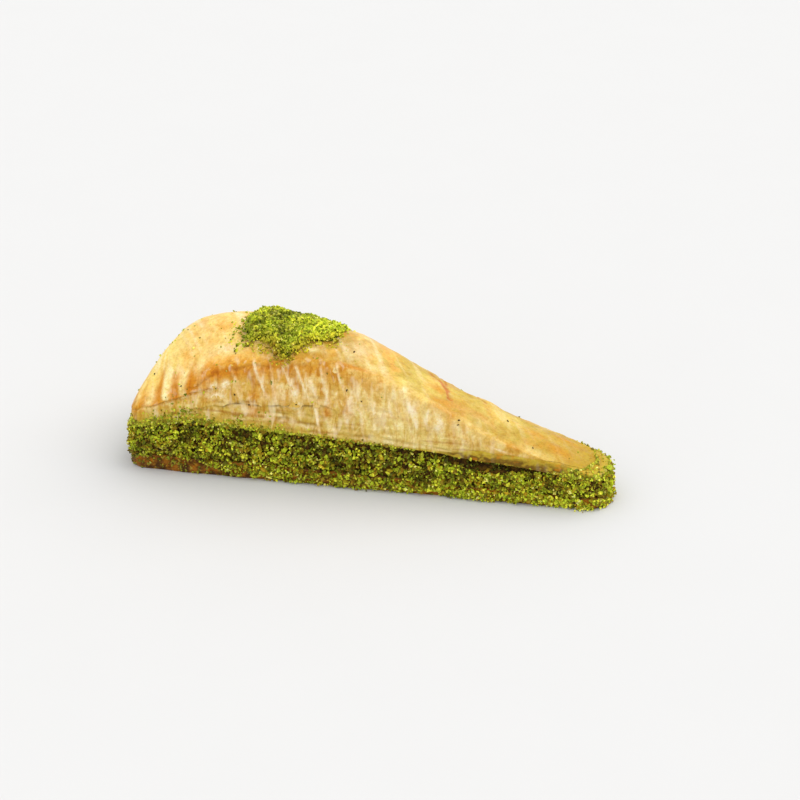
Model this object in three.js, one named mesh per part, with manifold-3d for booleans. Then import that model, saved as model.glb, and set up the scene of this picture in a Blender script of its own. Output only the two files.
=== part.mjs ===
// A carrot slice of pistachio baklava: a long wedge cut from a round tray, resting on its base.
//
// Units are millimetres and +Z is up.  The wide end, the tray's rim, is at -X and the blunt tip
// at +X.  The origin is under the middle of the slice, on the surface that it rests on.
//
// From the bottom up the slice is a syrup-soaked base of pressed leaves, a band of ground
// pistachio, a tall roof of pleated leaves under a smooth top skin, and a heap of ground
// pistachio strewn on the roof.

import * as THREE from "three";
import { mergeVertices } from "three/addons/utils/BufferGeometryUtils.js";
import Module from "manifold-3d";

const wasm = await Module();
wasm.setup();

// ---------------------------------------------------------------- driving dimensions

const LENGTH = 160; // rim to tip
const RIM_HALF_WIDTH = 27;
const TIP_HALF_WIDTH = 8;
const RIM_CORNER = 9; // setback of the rounded corners of the rim
const TIP_CORNER = 8; // the tip is round all the way across
const RIM_BOW = 1.5; // the rim is a piece of the tray's round edge
const GAP = 0.3; // clearance between neighbouring layers

// Heights along the slice: [share of the length from the rim, height].
const BASE_TOP = [[0, 5.5], [0.5, 5.0], [1, 3.5]];
const FILLING_TOP = [[0, 14], [0.15, 18.3], [0.5, 16.8], [0.8, 14.2], [1, 10.2]];
const NEAR_CREASE = [
  [0, 19], [0.06, 23], [0.13, 30], [0.23, 38.5], [0.38, 42.3],
  [0.5, 40.8], [0.62, 34.5], [0.76, 23.3], [0.89, 16], [1, 11.4],
];
const FAR_CREASE = [
  [0, 21.5], [0.06, 26], [0.13, 32.5], [0.23, 38], [0.38, 39],
  [0.5, 36], [0.62, 27.5], [0.76, 20.5], [0.89, 16], [1, 11.6],
];
const CREST = [
  [0, 30], [0.05, 36.5], [0.115, 43], [0.215, 48.2], [0.35, 48.6],
  [0.475, 44.2], [0.62, 34], [0.76, 24.2], [0.905, 17.2], [1, 11.6],
];

// The roof's middle line stops short of both ends, where the roof rounds down.
const MIDDLE_FROM_RIM = 14;
const MIDDLE_FROM_TIP = 7;
const WALL_LEAN = 0.13; // the roof's sides lean in by this much of their height

// Rows up the roof's sides: [share of the height, how far the row stands out].
// Each leaf's lower edge stands proud of the leaf below it, and the top skin ends in a lip.
const ROOF_WALL_ROWS = [
  [0, 0.1], [0.13, -0.25], [0.16, 0.3], [0.38, -0.15], [0.41, 0.4],
  [0.58, 0.1], [0.78, 0], [0.93, -0.25], [1, 0.35],
];
const ROOF_TOP_ROWS = [0.12, 0.28, 0.48, 0.72, 1]; // share of the way to the middle line
const FULL_RELIEF_HEIGHT = 8; // walls lower than this have shallower leaf edges

const PLEAT_PITCH = 4.6;
const PLEAT_DEPTH = 0.75;
const PLEAT_VALLEY = 0.35; // share of the depth that lies below the plain side
const PLEAT_SLANT = 0.54; // sideways run of a pleat for each millimetre that it drops
const PLEAT_DRIFT = 0.8; // swing of a pleat from its even place
const PLEAT_DRIFT_LENGTH = 6.3;
const PLEATS_FROM = -54;
const PLEATS_TO = 34;
const PLEATS_FADE = 12;
const PLEATS_START = [0.05, 0.45]; // share of the side's height over which they grow

const FOLD_PITCH = 5.2; // upright folds on the rounded rim end
const FOLD_DEPTH = 0.8;
const FOLD_START = 0.25; // share of its depth's swell that a fold has passed at the crease
const FOLDS_END = -52;
const FOLDS_FADE = 14;

// Slow waves of the top skin: [height, length over 2 pi, turn towards the middle line].
const RIPPLES = [[0.45, 8.5, 2], [0.27, 3.9, -3]];
const KINK_X = 22; // a shallow crosswise dent where the top drops to the tip
const KINK_DEPTH = 0.7;
const KINK_WIDTH = 3;
const KINK_SLANT = 4;

const BASE_ROWS = [[0, -0.5], [0.3, 0.15], [0.62, -0.2], [1, 0.15]];
const BASE_WAVES = [[0.18, 7], [0.18, 3.1]]; // [height, length over 2 pi] of its edge's waves
const FILLING_ROWS = [
  [0, -0.5], [0.2, 0.1], [0.4, 0.35], [0.6, 0.25], [0.8, -0.2], [1, -1.1],
];
const GRANULE_BUMP = 0.5; // in and out swing of the pistachio's surface
const GRANULE_DRIFT = 0.4; // up and down swing of its bumps

const FINE_STEP = 1.55; // spacing of stations round the outline where the pleats are
const COARSE_STEP = 3.6;
const FILLING_STEP = 2.3;
const BASE_STEP = 4.4;

const GRANULE_RADIUS = [0.85, 1.3]; // the largest granules, which are modelled one by one
const REACH = 1.2; // how far a granule can reach, for a radius of 1
const CLEAR = 0.25; // free space left under a granule that stands over a sloping neighbour
const FILLING_GRANULES = 54;
const BASE_GRANULES = 18;
const BASE_GRANULES_FROM = -22; // the rim end's base is bare
const TOPPING_GRANULES = 54;
const STREWN_GRANULES = 7;
const STREWN_SIZE = 0.65; // strewn granules are finer by this much
const STREWN_FROM = -58;
const STREWN_TO = 60;
const STREWN_SPREAD = 0.6; // share of the half width
const STREWN_SINK = 0.7; // share of its radius that a strewn granule is sunk

// The heap on the roof, as an uneven oval.
const HEAP_X = -26;
const HEAP_Y = -1;
const HEAP_LENGTH = 37;
const HEAP_WIDTH = 19;
const HEAP_HEIGHT = 2; // at its middle
const HEAP_EDGE = 0.8; // at its outline, about one granule
const HEAP_SIDES = 42;
const HEAP_TOP_RINGS = [0.2, 0.4, 0.6, 0.8, 1];
const HEAP_UNDER_RINGS = [0.3, 0.55, 0.8, 1];
const HEAP_BUMP = 0.4;
const HEAP_CROWDING = 1.5; // places tried on the heap for each granule that finds room
const HEAP_RIM = 0.95; // granules keep inside this share of its reach
const HEAP_CLEARANCE = 1.3; // strewn granules keep outside this share of its reach
const HEAP_WAVES = [[0.09, 3, 0.6], [0.06, 7, 2]]; // [share, number, turn] of its outline's waves
// Where the outline runs out or draws in: [angle, reach, spread], with angles in radians.
const HEAP_LOBES = [[-1.6, 4.5, 0.25], [-2.7, 5, 0.35], [2.9, -4, 0.4]];

const GOLDEN_SHARE = 0.618034; // spreads points evenly when taken again and again

// ---------------------------------------------------------------- numbers and profiles

const { clamp, lerp, smoothstep } = THREE.MathUtils;

// A repeatable stream of numbers from 0 to 1.
function randomStream(seed) {
  let state = seed;
  return () => {
    state = (state + 0x6d2b79f5) | 0;
    let mixed = Math.imul(state ^ (state >>> 15), state | 1);
    mixed ^= mixed + Math.imul(mixed ^ (mixed >>> 7), mixed | 61);
    return ((mixed ^ (mixed >>> 14)) >>> 0) / 2 ** 32;
  };
}

function sum(list, term) {
  return list.reduce((total, item) => total + term(item), 0);
}

// 1 in the middle, falling smoothly to 0 on both sides.
function bell(t) {
  return Math.exp(-t * t);
}

function between(random, low, high) {
  return lerp(low, high, random());
}

// A smooth height along X through [share of the length, height] knots.
function profile(knots) {
  const last = knots.length - 1;
  const slope = (i) => {
    const [before, after] = [knots[Math.max(i - 1, 0)], knots[Math.min(i + 1, last)]];
    return (after[1] - before[1]) / (after[0] - before[0]);
  };
  return (x) => {
    const share = clamp(x / LENGTH + 0.5, 0, 1);
    const i = Math.max(1, knots.findIndex((knot) => knot[0] >= share));
    const span = knots[i][0] - knots[i - 1][0];
    const t = (share - knots[i - 1][0]) / span;
    const rise = t * t * (3 - 2 * t);
    const start = t * (1 - t) * (1 - t) * slope(i - 1) * span;
    const end = t * t * (t - 1) * slope(i) * span;
    return lerp(knots[i - 1][1], knots[i][1], rise) + start + end;
  };
}

const baseTop = profile(BASE_TOP);
const fillingTop = profile(FILLING_TOP);
const nearCrease = profile(NEAR_CREASE);
const farCrease = profile(FAR_CREASE);
const crest = profile(CREST);

function halfWidth(x) {
  return lerp(RIM_HALF_WIDTH, TIP_HALF_WIDTH, clamp(x / LENGTH + 0.5, 0, 1));
}

// The crease between side and top, which is higher on the near side (-Y) of the slice.
function crease(x, y) {
  const farShare = clamp(0.5 + (0.5 * y) / halfWidth(x), 0, 1);
  return lerp(nearCrease(x), farCrease(x), farShare);
}

// ---------------------------------------------------------------- outline

// Half of the plan, from the middle of the rim along the near side to the middle of the tip.
function halfOutline() {
  const rim = -LENGTH / 2;
  const tip = LENGTH / 2;
  const side = new THREE.Vector2(LENGTH, RIM_HALF_WIDTH - TIP_HALF_WIDTH).normalize();
  const rimCorner = new THREE.Vector2(rim + RIM_BOW, -RIM_HALF_WIDTH);
  const tipCorner = new THREE.Vector2(tip, -TIP_HALF_WIDTH);
  const sideStart = rimCorner.clone().addScaledVector(side, RIM_CORNER);
  const sideEnd = tipCorner.clone().addScaledVector(side, -TIP_CORNER);
  const path = new THREE.Path();
  path.moveTo(rim, 0);
  path.quadraticCurveTo(rim, -RIM_HALF_WIDTH / 2, rim + RIM_BOW, RIM_CORNER - RIM_HALF_WIDTH);
  path.quadraticCurveTo(rimCorner.x, rimCorner.y, sideStart.x, sideStart.y);
  path.lineTo(sideEnd.x, sideEnd.y);
  path.quadraticCurveTo(tipCorner.x, tipCorner.y, tip, TIP_CORNER - TIP_HALF_WIDTH);
  path.lineTo(tip, 0);
  return path;
}

const HALF_OUTLINE = halfOutline();
const HALF_PERIMETER = HALF_OUTLINE.getLength();

// A point of the outline, the way out from it, and the point of the middle line it belongs to.
function station(distance, far) {
  const share = clamp(distance / HALF_PERIMETER, 0, 1);
  const point = HALF_OUTLINE.getPointAt(share);
  const mirror = far ? -1 : 1;
  const middleX = clamp(point.x, MIDDLE_FROM_RIM - LENGTH / 2, LENGTH / 2 - MIDDLE_FROM_TIP);
  const y = point.y * mirror;
  const out = new THREE.Vector2(point.x - middleX, y).normalize();
  return { x: point.x, y, out, middleX, distance, far };
}

// Stations all the way round, alike on both sides so that the two halves meet on the middle line.
function stationsRound(stepAt) {
  const near = [];
  let distance = 0;
  while (distance < HALF_PERIMETER) {
    near.push(station(distance, false));
    distance += stepAt(near[near.length - 1].x);
  }
  near.push(station(HALF_PERIMETER, false));
  const far = near.slice(1, -1).map((s) => station(s.distance, true));
  return [...near, ...far.reverse()];
}

// ---------------------------------------------------------------- solids

function solidOf(geometry) {
  geometry.deleteAttribute("normal");
  geometry.deleteAttribute("uv");
  const merged = mergeVertices(geometry, 0.001);
  const index = merged.index.array;
  const triangles = [];
  for (let i = 0; i < index.length; i += 3) {
    const [a, b, c] = [index[i], index[i + 1], index[i + 2]];
    if (a !== b && b !== c && c !== a) triangles.push(a, b, c);
  }
  const vertProperties = Float32Array.from(merged.attributes.position.array);
  const triVerts = Uint32Array.from(triangles);
  return new wasm.Manifold(new wasm.Mesh({ numProp: 3, vertProperties, triVerts }));
}

function geometryOf(solid) {
  const { vertProperties, triVerts } = solid.getMesh();
  const geometry = new THREE.BufferGeometry();
  geometry.setAttribute("position", new THREE.BufferAttribute(vertProperties, 3));
  geometry.setIndex(new THREE.BufferAttribute(triVerts, 1));
  geometry.computeVertexNormals();
  return geometry;
}

// A closed skin over rings of points.  rowsAt gives one station's points, from the middle of the
// underside out, up the side and in to the middle of the top.
function ringSolid(stations, rowsAt) {
  const columns = stations.map(rowsAt);
  const rows = columns[0].length;
  const positions = columns.flat().flatMap((point) => point.toArray());
  const index = [];
  columns.forEach((_, i) => {
    const here = i * rows;
    const next = ((i + 1) % columns.length) * rows;
    for (let j = 0; j < rows - 1; j++) {
      index.push(here + j, next + j, next + j + 1);
      index.push(here + j, next + j + 1, here + j + 1);
    }
  });
  const geometry = new THREE.BufferGeometry();
  geometry.setAttribute("position", new THREE.Float32BufferAttribute(positions, 3));
  geometry.setIndex(index);
  return solidOf(geometry);
}

// A point out from (or in to) the outline at a station, at a height.
function pointOut(s, outward, z) {
  return new THREE.Vector3(s.x + s.out.x * outward, s.y + s.out.y * outward, z);
}

function middlePoint(s, z) {
  return new THREE.Vector3(s.middleX, 0, z);
}

// ---------------------------------------------------------------- granules

// One broken bit of pistachio: an uneven, turned icosahedron.
function granule(centre, radius, random) {
  const geometry = new THREE.IcosahedronGeometry(radius, 0);
  geometry.scale(between(random, 0.8, 1.2), between(random, 0.75, 1), between(random, 0.7, 1));
  geometry.rotateX(random() * Math.PI);
  geometry.rotateY(random() * Math.PI);
  geometry.rotateZ(random() * Math.PI);
  geometry.translate(centre.x, centre.y, centre.z);
  return solidOf(geometry);
}

// Fuses granules onto a body.  candidate(k, radius) gives the place of the k-th one, or null.
// Granules keep clear of each other so that no hollow is sealed between them.
function withGranules(body, count, size, random, candidate) {
  const placed = [];
  const apart = 2 * REACH * GRANULE_RADIUS[1];
  const triesForEach = 6;
  let solid = body;
  for (let k = 0; k < count * triesForEach && placed.length < count; k++) {
    const radius = size * between(random, ...GRANULE_RADIUS);
    const centre = candidate(k, radius);
    if (centre && placed.every((other) => other.distanceTo(centre) > apart)) {
      placed.push(centre);
      solid = solid.add(granule(centre, radius, random));
    }
  }
  return solid;
}

// A station somewhere round the outline: successive k spread evenly over both sides.
function stationAround(k) {
  const share = (k * GOLDEN_SHARE) % 1;
  const distance = share * 2 * HALF_PERIMETER;
  const far = distance > HALF_PERIMETER;
  return station(far ? 2 * HALF_PERIMETER - distance : distance, far);
}

// How far a layer's side stands out at a share of its height.
function rowOutward(rows, share) {
  const i = Math.max(1, rows.findIndex((row) => row[0] >= share));
  const t = (share - rows[i - 1][0]) / (rows[i][0] - rows[i - 1][0]);
  return lerp(rows[i - 1][1], rows[i][1], t);
}

// ---------------------------------------------------------------- base

function baseOutward(s, share) {
  const wave = sum(BASE_WAVES, ([height, length]) => height * Math.sin(s.distance / length));
  return rowOutward(BASE_ROWS, share) + wave;
}

function pastryBase() {
  const random = randomStream(11);
  const body = ringSolid(stationsRound(() => BASE_STEP), (s) => [
    middlePoint(s, 0),
    ...BASE_ROWS.map(([share]) => pointOut(s, baseOutward(s, share), share * baseTop(s.x))),
    middlePoint(s, baseTop(s.middleX)),
  ]);
  return withGranules(body, BASE_GRANULES, 1, random, (k, radius) => {
    const s = stationAround(k);
    const low = REACH * radius;
    const high = baseTop(s.x) - REACH * radius;
    if (s.x < BASE_GRANULES_FROM || high < low) return null;
    const z = between(random, low, high);
    return pointOut(s, baseOutward(s, z / baseTop(s.x)), z);
  });
}

// ---------------------------------------------------------------- pistachio filling

function pistachioFilling() {
  const random = randomStream(23);
  const bottom = (x) => baseTop(x) + GAP;
  const body = ringSolid(stationsRound(() => FILLING_STEP), (s) => {
    const height = fillingTop(s.x) - bottom(s.x);
    const side = FILLING_ROWS.map(([share, outward], row) => {
      const inner = row > 0 && row < FILLING_ROWS.length - 1;
      const drift = inner ? between(random, -GRANULE_DRIFT, GRANULE_DRIFT) : 0;
      const bump = between(random, -GRANULE_BUMP, GRANULE_BUMP);
      return pointOut(s, outward + bump, bottom(s.x) + share * height + drift);
    });
    return [middlePoint(s, bottom(s.middleX)), ...side, middlePoint(s, fillingTop(s.middleX))];
  });
  return withGranules(body, FILLING_GRANULES, 1, random, (k, radius) => {
    const s = stationAround(k);
    const margin = REACH * radius;
    const z = between(random, bottom(s.x) + margin, fillingTop(s.x) - margin);
    const share = (z - bottom(s.x)) / (fillingTop(s.x) - bottom(s.x));
    return pointOut(s, rowOutward(FILLING_ROWS, share), z);
  });
}

// ---------------------------------------------------------------- roof of pleated leaves

// 1 well inside a stretch of X, falling to 0 outside it.
function within(x, from, to, fade) {
  return smoothstep(x, from, from + fade) * (1 - smoothstep(x, to - fade, to));
}

// Narrow slanting ridges that hang from the crease and die out towards the bottom of the side.
function pleat(x, z, share) {
  const run = x + PLEAT_SLANT * z + PLEAT_DRIFT * Math.sin(x / PLEAT_DRIFT_LENGTH);
  const ridge = 0.5 + 0.5 * Math.cos((2 * Math.PI * run) / PLEAT_PITCH);
  const fade = within(x, PLEATS_FROM, PLEATS_TO, PLEATS_FADE);
  const growth = smoothstep(share, ...PLEATS_START);
  return PLEAT_DEPTH * fade * growth * (ridge * ridge - PLEAT_VALLEY);
}

// Upright folds round the rim end, deepest just above the crease.
function fold(s, rise) {
  const fade = 1 - smoothstep(s.x, FOLDS_END - FOLDS_FADE, FOLDS_END);
  const wave = Math.sin((2 * Math.PI * s.distance) / FOLD_PITCH);
  const swell = clamp(lerp(FOLD_START, 1, rise), 0, 1);
  return FOLD_DEPTH * fade * wave * Math.sin(Math.PI * swell);
}

// Slow waves of the top skin and the dent across it.
function ripple(x, inward) {
  const waves = sum(RIPPLES, ([height, length, turn]) => {
    return height * Math.sin(x / length + turn * inward);
  });
  const kink = KINK_DEPTH * bell((x - KINK_X + KINK_SLANT * inward) / KINK_WIDTH);
  return inward * (waves - kink);
}

// How far in the top of the side is from the outline.
function leanIn(x, z) {
  return WALL_LEAN * Math.max(0, z - fillingTop(x));
}

function roofHeight(x, middleX, y, inward) {
  const edge = crease(x, y);
  const rise = (crest(middleX) - edge) * Math.sin((inward * Math.PI) / 2);
  return edge + rise + ripple(lerp(x, middleX, inward), inward);
}

function roofColumn(s) {
  const bottom = fillingTop(s.x) + GAP;
  const top = crease(s.x, s.y);
  const relief = Math.min(1, (top - bottom) / FULL_RELIEF_HEIGHT);
  const side = ROOF_WALL_ROWS.map(([share, proud]) => {
    const z = lerp(bottom, top, share);
    const outward = relief * (proud + pleat(s.x, z, share) + fold(s, share - 1));
    return pointOut(s, outward - leanIn(s.x, z), z);
  });
  const shoulder = pointOut(s, -leanIn(s.x, top), top);
  const over = ROOF_TOP_ROWS.map((inward) => {
    const z = roofHeight(s.x, s.middleX, s.y, inward);
    const point = shoulder.clone().lerp(middlePoint(s, z), inward).setZ(z);
    const bulge = fold(s, inward) * (1 - inward);
    point.x += s.out.x * bulge;
    point.y += s.out.y * bulge;
    return point;
  });
  return [middlePoint(s, fillingTop(s.middleX) + GAP), ...side, ...over];
}

// The height of the roof over a point that isn't in its rounded ends.
function roofAt(x, y) {
  const edge = crease(x, Math.sign(y) * halfWidth(x));
  const reach = halfWidth(x) - leanIn(x, edge);
  return roofHeight(x, x, Math.sign(y) * halfWidth(x), clamp(1 - Math.abs(y) / reach, 0, 1));
}

function pastryTop() {
  const random = randomStream(37);
  const stepAt = (x) => (x > PLEATS_FROM && x < PLEATS_TO ? FINE_STEP : COARSE_STEP);
  const body = ringSolid(stationsRound(stepAt), roofColumn);
  return withGranules(body, STREWN_GRANULES, STREWN_SIZE, random, (k, radius) => {
    const x = lerp(STREWN_FROM, STREWN_TO, (k * GOLDEN_SHARE) % 1);
    const y = between(random, -STREWN_SPREAD, STREWN_SPREAD) * halfWidth(x);
    const z = roofAt(x, y) + (1 - STREWN_SINK) * radius;
    return heapShare(x, y) > HEAP_CLEARANCE ? new THREE.Vector3(x, y, z) : null;
  });
}

// ---------------------------------------------------------------- heap of ground pistachio

// The heap's uneven reach at an angle about its middle.
function heapReach(angle) {
  const round = Math.hypot(Math.cos(angle) / HEAP_LENGTH, Math.sin(angle) / HEAP_WIDTH);
  const waves = sum(HEAP_WAVES, ([share, number, turn]) => share * Math.sin(number * angle + turn));
  const lobes = sum(HEAP_LOBES, ([at, reach, spread]) => reach * bell((angle - at) / spread));
  return (0.5 / round) * (1 + waves) + lobes;
}

// 0 at the heap's middle, 1 on its outline.
function heapShare(x, y) {
  const angle = Math.atan2(y - HEAP_Y, x - HEAP_X);
  return Math.hypot(x - HEAP_X, y - HEAP_Y) / heapReach(angle);
}

function heapThickness(share) {
  return lerp(HEAP_EDGE, HEAP_HEIGHT, Math.sqrt(Math.max(0, 1 - share * share)));
}

function heapPoint(angle, share, lift) {
  const reach = share * heapReach(angle);
  const x = HEAP_X + reach * Math.cos(angle);
  const y = HEAP_Y + reach * Math.sin(angle);
  return new THREE.Vector3(x, y, roofAt(x, y) + GAP + lift);
}

function pistachioTopping() {
  const random = randomStream(53);
  const spokes = Array.from({ length: HEAP_SIDES }, (_, i) => {
    return -Math.PI + (2 * Math.PI * i) / HEAP_SIDES;
  });
  const middle = heapPoint(0, 0, 0);
  const body = ringSolid(spokes, (angle) => {
    const under = HEAP_UNDER_RINGS.map((share) => heapPoint(angle, share, 0));
    const over = HEAP_TOP_RINGS.map((share) => {
      const bump = between(random, -HEAP_BUMP, HEAP_BUMP);
      return heapPoint(angle, share, heapThickness(share) + bump);
    });
    const top = middle.clone().setZ(middle.z + HEAP_HEIGHT);
    return [middle, ...under, ...over.reverse(), top];
  });
  return withGranules(body, TOPPING_GRANULES, 1, random, (k, radius) => {
    const share = Math.sqrt((k + 0.5) / (TOPPING_GRANULES * HEAP_CROWDING));
    const angle = 2 * Math.PI * ((k * GOLDEN_SHARE) % 1) - Math.PI;
    const lift = Math.max(heapThickness(share), REACH * radius + CLEAR);
    return share < HEAP_RIM ? heapPoint(angle, share, lift) : null;
  });
}

// ---------------------------------------------------------------- the slice

function part(name, solid, color, roughness) {
  const material = new THREE.MeshStandardMaterial({ color, roughness, metalness: 0 });
  const mesh = new THREE.Mesh(geometryOf(solid), material);
  mesh.name = name;
  return mesh;
}

const slice = new THREE.Group();
slice.add(part("pastry_base", pastryBase(), "#7a5520", 0.35));
slice.add(part("pistachio_filling", pistachioFilling(), "#7c7d22", 0.75));
slice.add(part("pastry_top", pastryTop(), "#ecc97f", 0.3));
slice.add(part("pistachio_topping", pistachioTopping(), "#a3a632", 0.75));

export default slice;
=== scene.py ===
"""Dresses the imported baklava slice: pleated pastry, ground pistachio, soaked base and a plain stage."""

import functools
import math

import bpy
import numpy as np
from mathutils import Matrix, Vector


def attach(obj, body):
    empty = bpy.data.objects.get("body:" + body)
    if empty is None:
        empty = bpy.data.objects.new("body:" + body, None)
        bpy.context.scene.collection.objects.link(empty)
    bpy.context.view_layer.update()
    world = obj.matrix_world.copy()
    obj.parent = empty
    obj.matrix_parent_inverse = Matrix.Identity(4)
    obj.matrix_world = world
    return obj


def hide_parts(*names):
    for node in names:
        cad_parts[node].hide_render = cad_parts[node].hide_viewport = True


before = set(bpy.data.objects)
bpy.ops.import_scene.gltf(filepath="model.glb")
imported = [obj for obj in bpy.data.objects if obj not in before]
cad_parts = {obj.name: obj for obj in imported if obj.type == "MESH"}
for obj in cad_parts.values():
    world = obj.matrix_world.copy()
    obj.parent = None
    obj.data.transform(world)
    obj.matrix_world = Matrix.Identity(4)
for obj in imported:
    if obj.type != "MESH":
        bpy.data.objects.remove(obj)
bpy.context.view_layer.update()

bl_info = {
    "name": "Pistachio baklava slice",
    "version": (1, 0, 0),
    "blender": (4, 5, 0),
    "location": "View3D > Sidebar > Baklava",
    "description": "Pleated pastry, ground pistachio and a soaked base round the packed slice",
    "category": "Object",
}

# ------------------------------------------------------------------ sizes, in millimetres

MM = 0.001  # metres in a millimetre

LENGTH = 160.0
RIM_HALF_WIDTH = 27.0
TIP_HALF_WIDTH = 8.0
RIM_CORNER = 9.0
TIP_CORNER = 8.0
RIM_BOW = 1.5
GAP = 0.3  # between one layer and the next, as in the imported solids

# Heights along the slice: (share of the length from the rim, height).
BASE_TOP = ((0, 5.5), (0.5, 5.0), (1, 3.5))
FILLING_TOP = ((0, 14), (0.15, 18.3), (0.5, 16.8), (0.8, 14.2), (1, 10.2))
NEAR_CREASE = (
    (0, 19), (0.06, 23), (0.13, 30), (0.23, 38.5), (0.38, 42.3),
    (0.5, 40.8), (0.62, 34.5), (0.76, 23.3), (0.89, 16), (1, 11.4),
)
FAR_CREASE = (
    (0, 21.5), (0.06, 26), (0.13, 32.5), (0.23, 38), (0.38, 39),
    (0.5, 36), (0.62, 27.5), (0.76, 20.5), (0.89, 16), (1, 11.6),
)
CREST = (
    (0, 30), (0.05, 36.5), (0.115, 43), (0.215, 48.2), (0.35, 48.6),
    (0.475, 44.2), (0.62, 34), (0.76, 24.2), (0.905, 17.2), (1, 11.6),
)
MIDDLE_FROM_RIM = 14.0  # where the middle line starts, in from the rim end
MIDDLE_FROM_TIP = 7.0
WALL_LEAN = 0.13  # how far the leaves lean in for each millimetre above the filling
FULL_RELIEF_HEIGHT = 8.0  # a side lower than this has weaker pleats
SHOULDER_PASSES = 30  # smoothing passes that round the roof's shoulder
RIDGE_HEIGHT = 0.45
RIDGE_WIDTH = 0.85  # share of the half widths that the ridges are listed with

FOLD_PITCH = 5.8
FOLD_HEIGHT = 0.3
FOLD_SLANT = 4.5  # way round the outline for each step of height
FOLD_START_RUN = 37.5  # way round the outline, from the rim's middle, to one of the folds' ridges

RIPPLES = ((0.45, 8.5, 2), (0.27, 3.9, -3))  # waves along the roof: height, length / 2 pi, turn
KINK_X = 22.0  # a shallow dent across the roof
KINK_DEPTH = 0.7
KINK_WIDTH = 3.0
KINK_SLANT = 4.0

# How far the base and the filling stand out, up their sides: share of the height, distance. The
# base has waves round it too: height, length / 2 pi.
BASE_ROWS = ((0, -0.5), (0.3, 0.15), (0.62, -0.2), (1, 0.15))
BASE_WAVES = ((0.18, 7), (0.18, 3.1))
FILLING_ROWS = ((0, -0.5), (0.2, 0.1), (0.4, 0.35), (0.6, 0.25), (0.8, -0.2), (1, -1.1))

HEAP_X = -26.0
HEAP_Y = -1.0
HEAP_HEIGHT = 2.0
HEAP_EDGE = 0.8
HEAP_CORE = 0.9  # share of the heap's reach that its packed core has
SKIN_THICKNESS = 0.5
LEAF_OVERLAP = 0.14  # how far the lower leaves go up behind the skin, as a height
CORE_STEP = 0.8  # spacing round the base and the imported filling
CORE_ROWS = 19
FLOOR_CLEARANCE = 0.02  # no bit lies lower than this
MERGE_DISTANCE = 2e-6  # in metres

# ------------------------------------------------------------------ properties


def length_property(name, description, default):
    return bpy.props.FloatProperty(
        name=name, description=description, default=default, min=0.0002, unit="LENGTH",
    )


def count_property(name, description, default):
    return bpy.props.IntProperty(name=name, description=description, default=default, min=1)


def colour_property(name, description, default):
    return bpy.props.FloatVectorProperty(
        name=name, description=description, subtype="COLOR_GAMMA",
        size=3, min=0, max=1, default=[value / 255 for value in default],
    )


class SliceSizes(bpy.types.PropertyGroup):
    """How finely the slice is modelled, and the sizes and numbers of its crumbs"""

    skin_step: length_property("Skin step", "Spacing of the pastry's mesh round the slice", 0.00041)
    granule_radius: length_property("Granule radius", "Usual radius of a bit of pistachio", 0.00055)
    filling_granules: count_property("Filling granules", "Bits on the filling's side", 9800)
    heap_granules: count_property("Heap granules", "Bits tried for the heap on the roof", 11900)
    fine_granules: count_property("Fine granules", "Smaller bits between the filling's", 16000)
    dust_granules: count_property("Dust granules", "Fine bits tried for the pastry's foot", 9000)
    flakes: count_property("Flakes", "Small torn leaf flakes on the far side", 8)


class SliceColours(bpy.types.PropertyGroup):
    """The colours of the pastry, the pistachio and the floor, as they look on screen"""

    top_skin: colour_property("Top skin", "Smooth top of the roof", (246, 213, 134))
    mid_gold: colour_property("Middle gold", "Top of the roof round the heap", (190, 157, 60))
    slope_gold: colour_property("Slope gold", "The long slope down to the tip", (193, 166, 66))
    # Pale gold: light patches of the top skin, and also painted light along the crest of the slope and
    # over the top of the rim end.
    pale_gold: colour_property("Pale gold", "Light patches of the top skin", (250, 230, 138))
    blush: colour_property("Blush", "Warm mottling of the top skin", (246, 190, 96))
    amber: colour_property("Amber", "Baked patches and the bottoms of folds", (214, 140, 20))
    valley: colour_property("Valley", "Bottoms of the upright folds", (212, 136, 16))
    # Crease: browned lines where the leaves fold, also laid as painted shade in the fold under the top
    # skin's edge and between the stacked low leaves.
    crease: colour_property("Crease", "Browned lines where the leaves fold", (170, 104, 14))
    russet: colour_property("Russet", "Cracks in the top skin", (196, 104, 52))
    # Pale leaf: the pale tone of the pleats, which also paints the highlights on the rim end's folds and
    # in some patches there.
    leaf_pale: colour_property("Pale leaf", "Ridges of the pleats", (255, 240, 180))
    # Torn leaf: the light cream of torn, dry leaf edges, which also paints the highlights: glints along
    # the pleats' ridges, on crumpled torn leaf, in streaks over the roof and in patches.
    leaf_glint: colour_property("Torn leaf and glint", "Torn, dry leaf edges", (255, 240, 208))
    leaf_high: colour_property("High leaf", "The side just under the crease", (226, 168, 60))
    leaf_mid: colour_property("Leaf", "The middle of the side", (226, 188, 96))
    leaf_low: colour_property("Low leaf", "Syrup-soaked leaves over the pistachio", (210, 182, 86))
    leaf_foot: colour_property("Leaf foot", "The lowest leaves, stained by pistachio", (198, 174, 52))
    tip_gold: colour_property("Tip gold", "Soaked pastry at the tip", (186, 152, 36))
    # Soaked strip: the wet leaf edges at the tip, also darkened into the painted shadow under the pleated
    # skin's lower edge.
    soaked_strip: colour_property("Soaked strip", "Wet leaf edges at the tip", (112, 84, 14))
    soaked_brown: colour_property("Soaked brown", "The pressed base", (152, 94, 6))
    floor_white: colour_property("Floor white", "The floor, before the lights", (216, 216, 216))


# ------------------------------------------------------------------ numbers and profiles


def lerp(a, b, t):
    return a + (b - a) * t


def smoothstep(value, low, high):
    t = np.clip((value - low) / (high - low), 0, 1)
    return t * t * (3 - 2 * t)


def falling(value, low, high):
    """1 below a stretch of values, falling smoothly to 0 above it."""
    return 1 - smoothstep(value, low, high)


def bell(t):
    """1 in the middle, falling smoothly to 0 on both sides."""
    return np.exp(-t * t)


def within(x, start, end, fade):
    """1 well inside a stretch of X, falling to 0 outside it."""
    return smoothstep(x, start, start + fade) * falling(x, end - fade, end)


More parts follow.
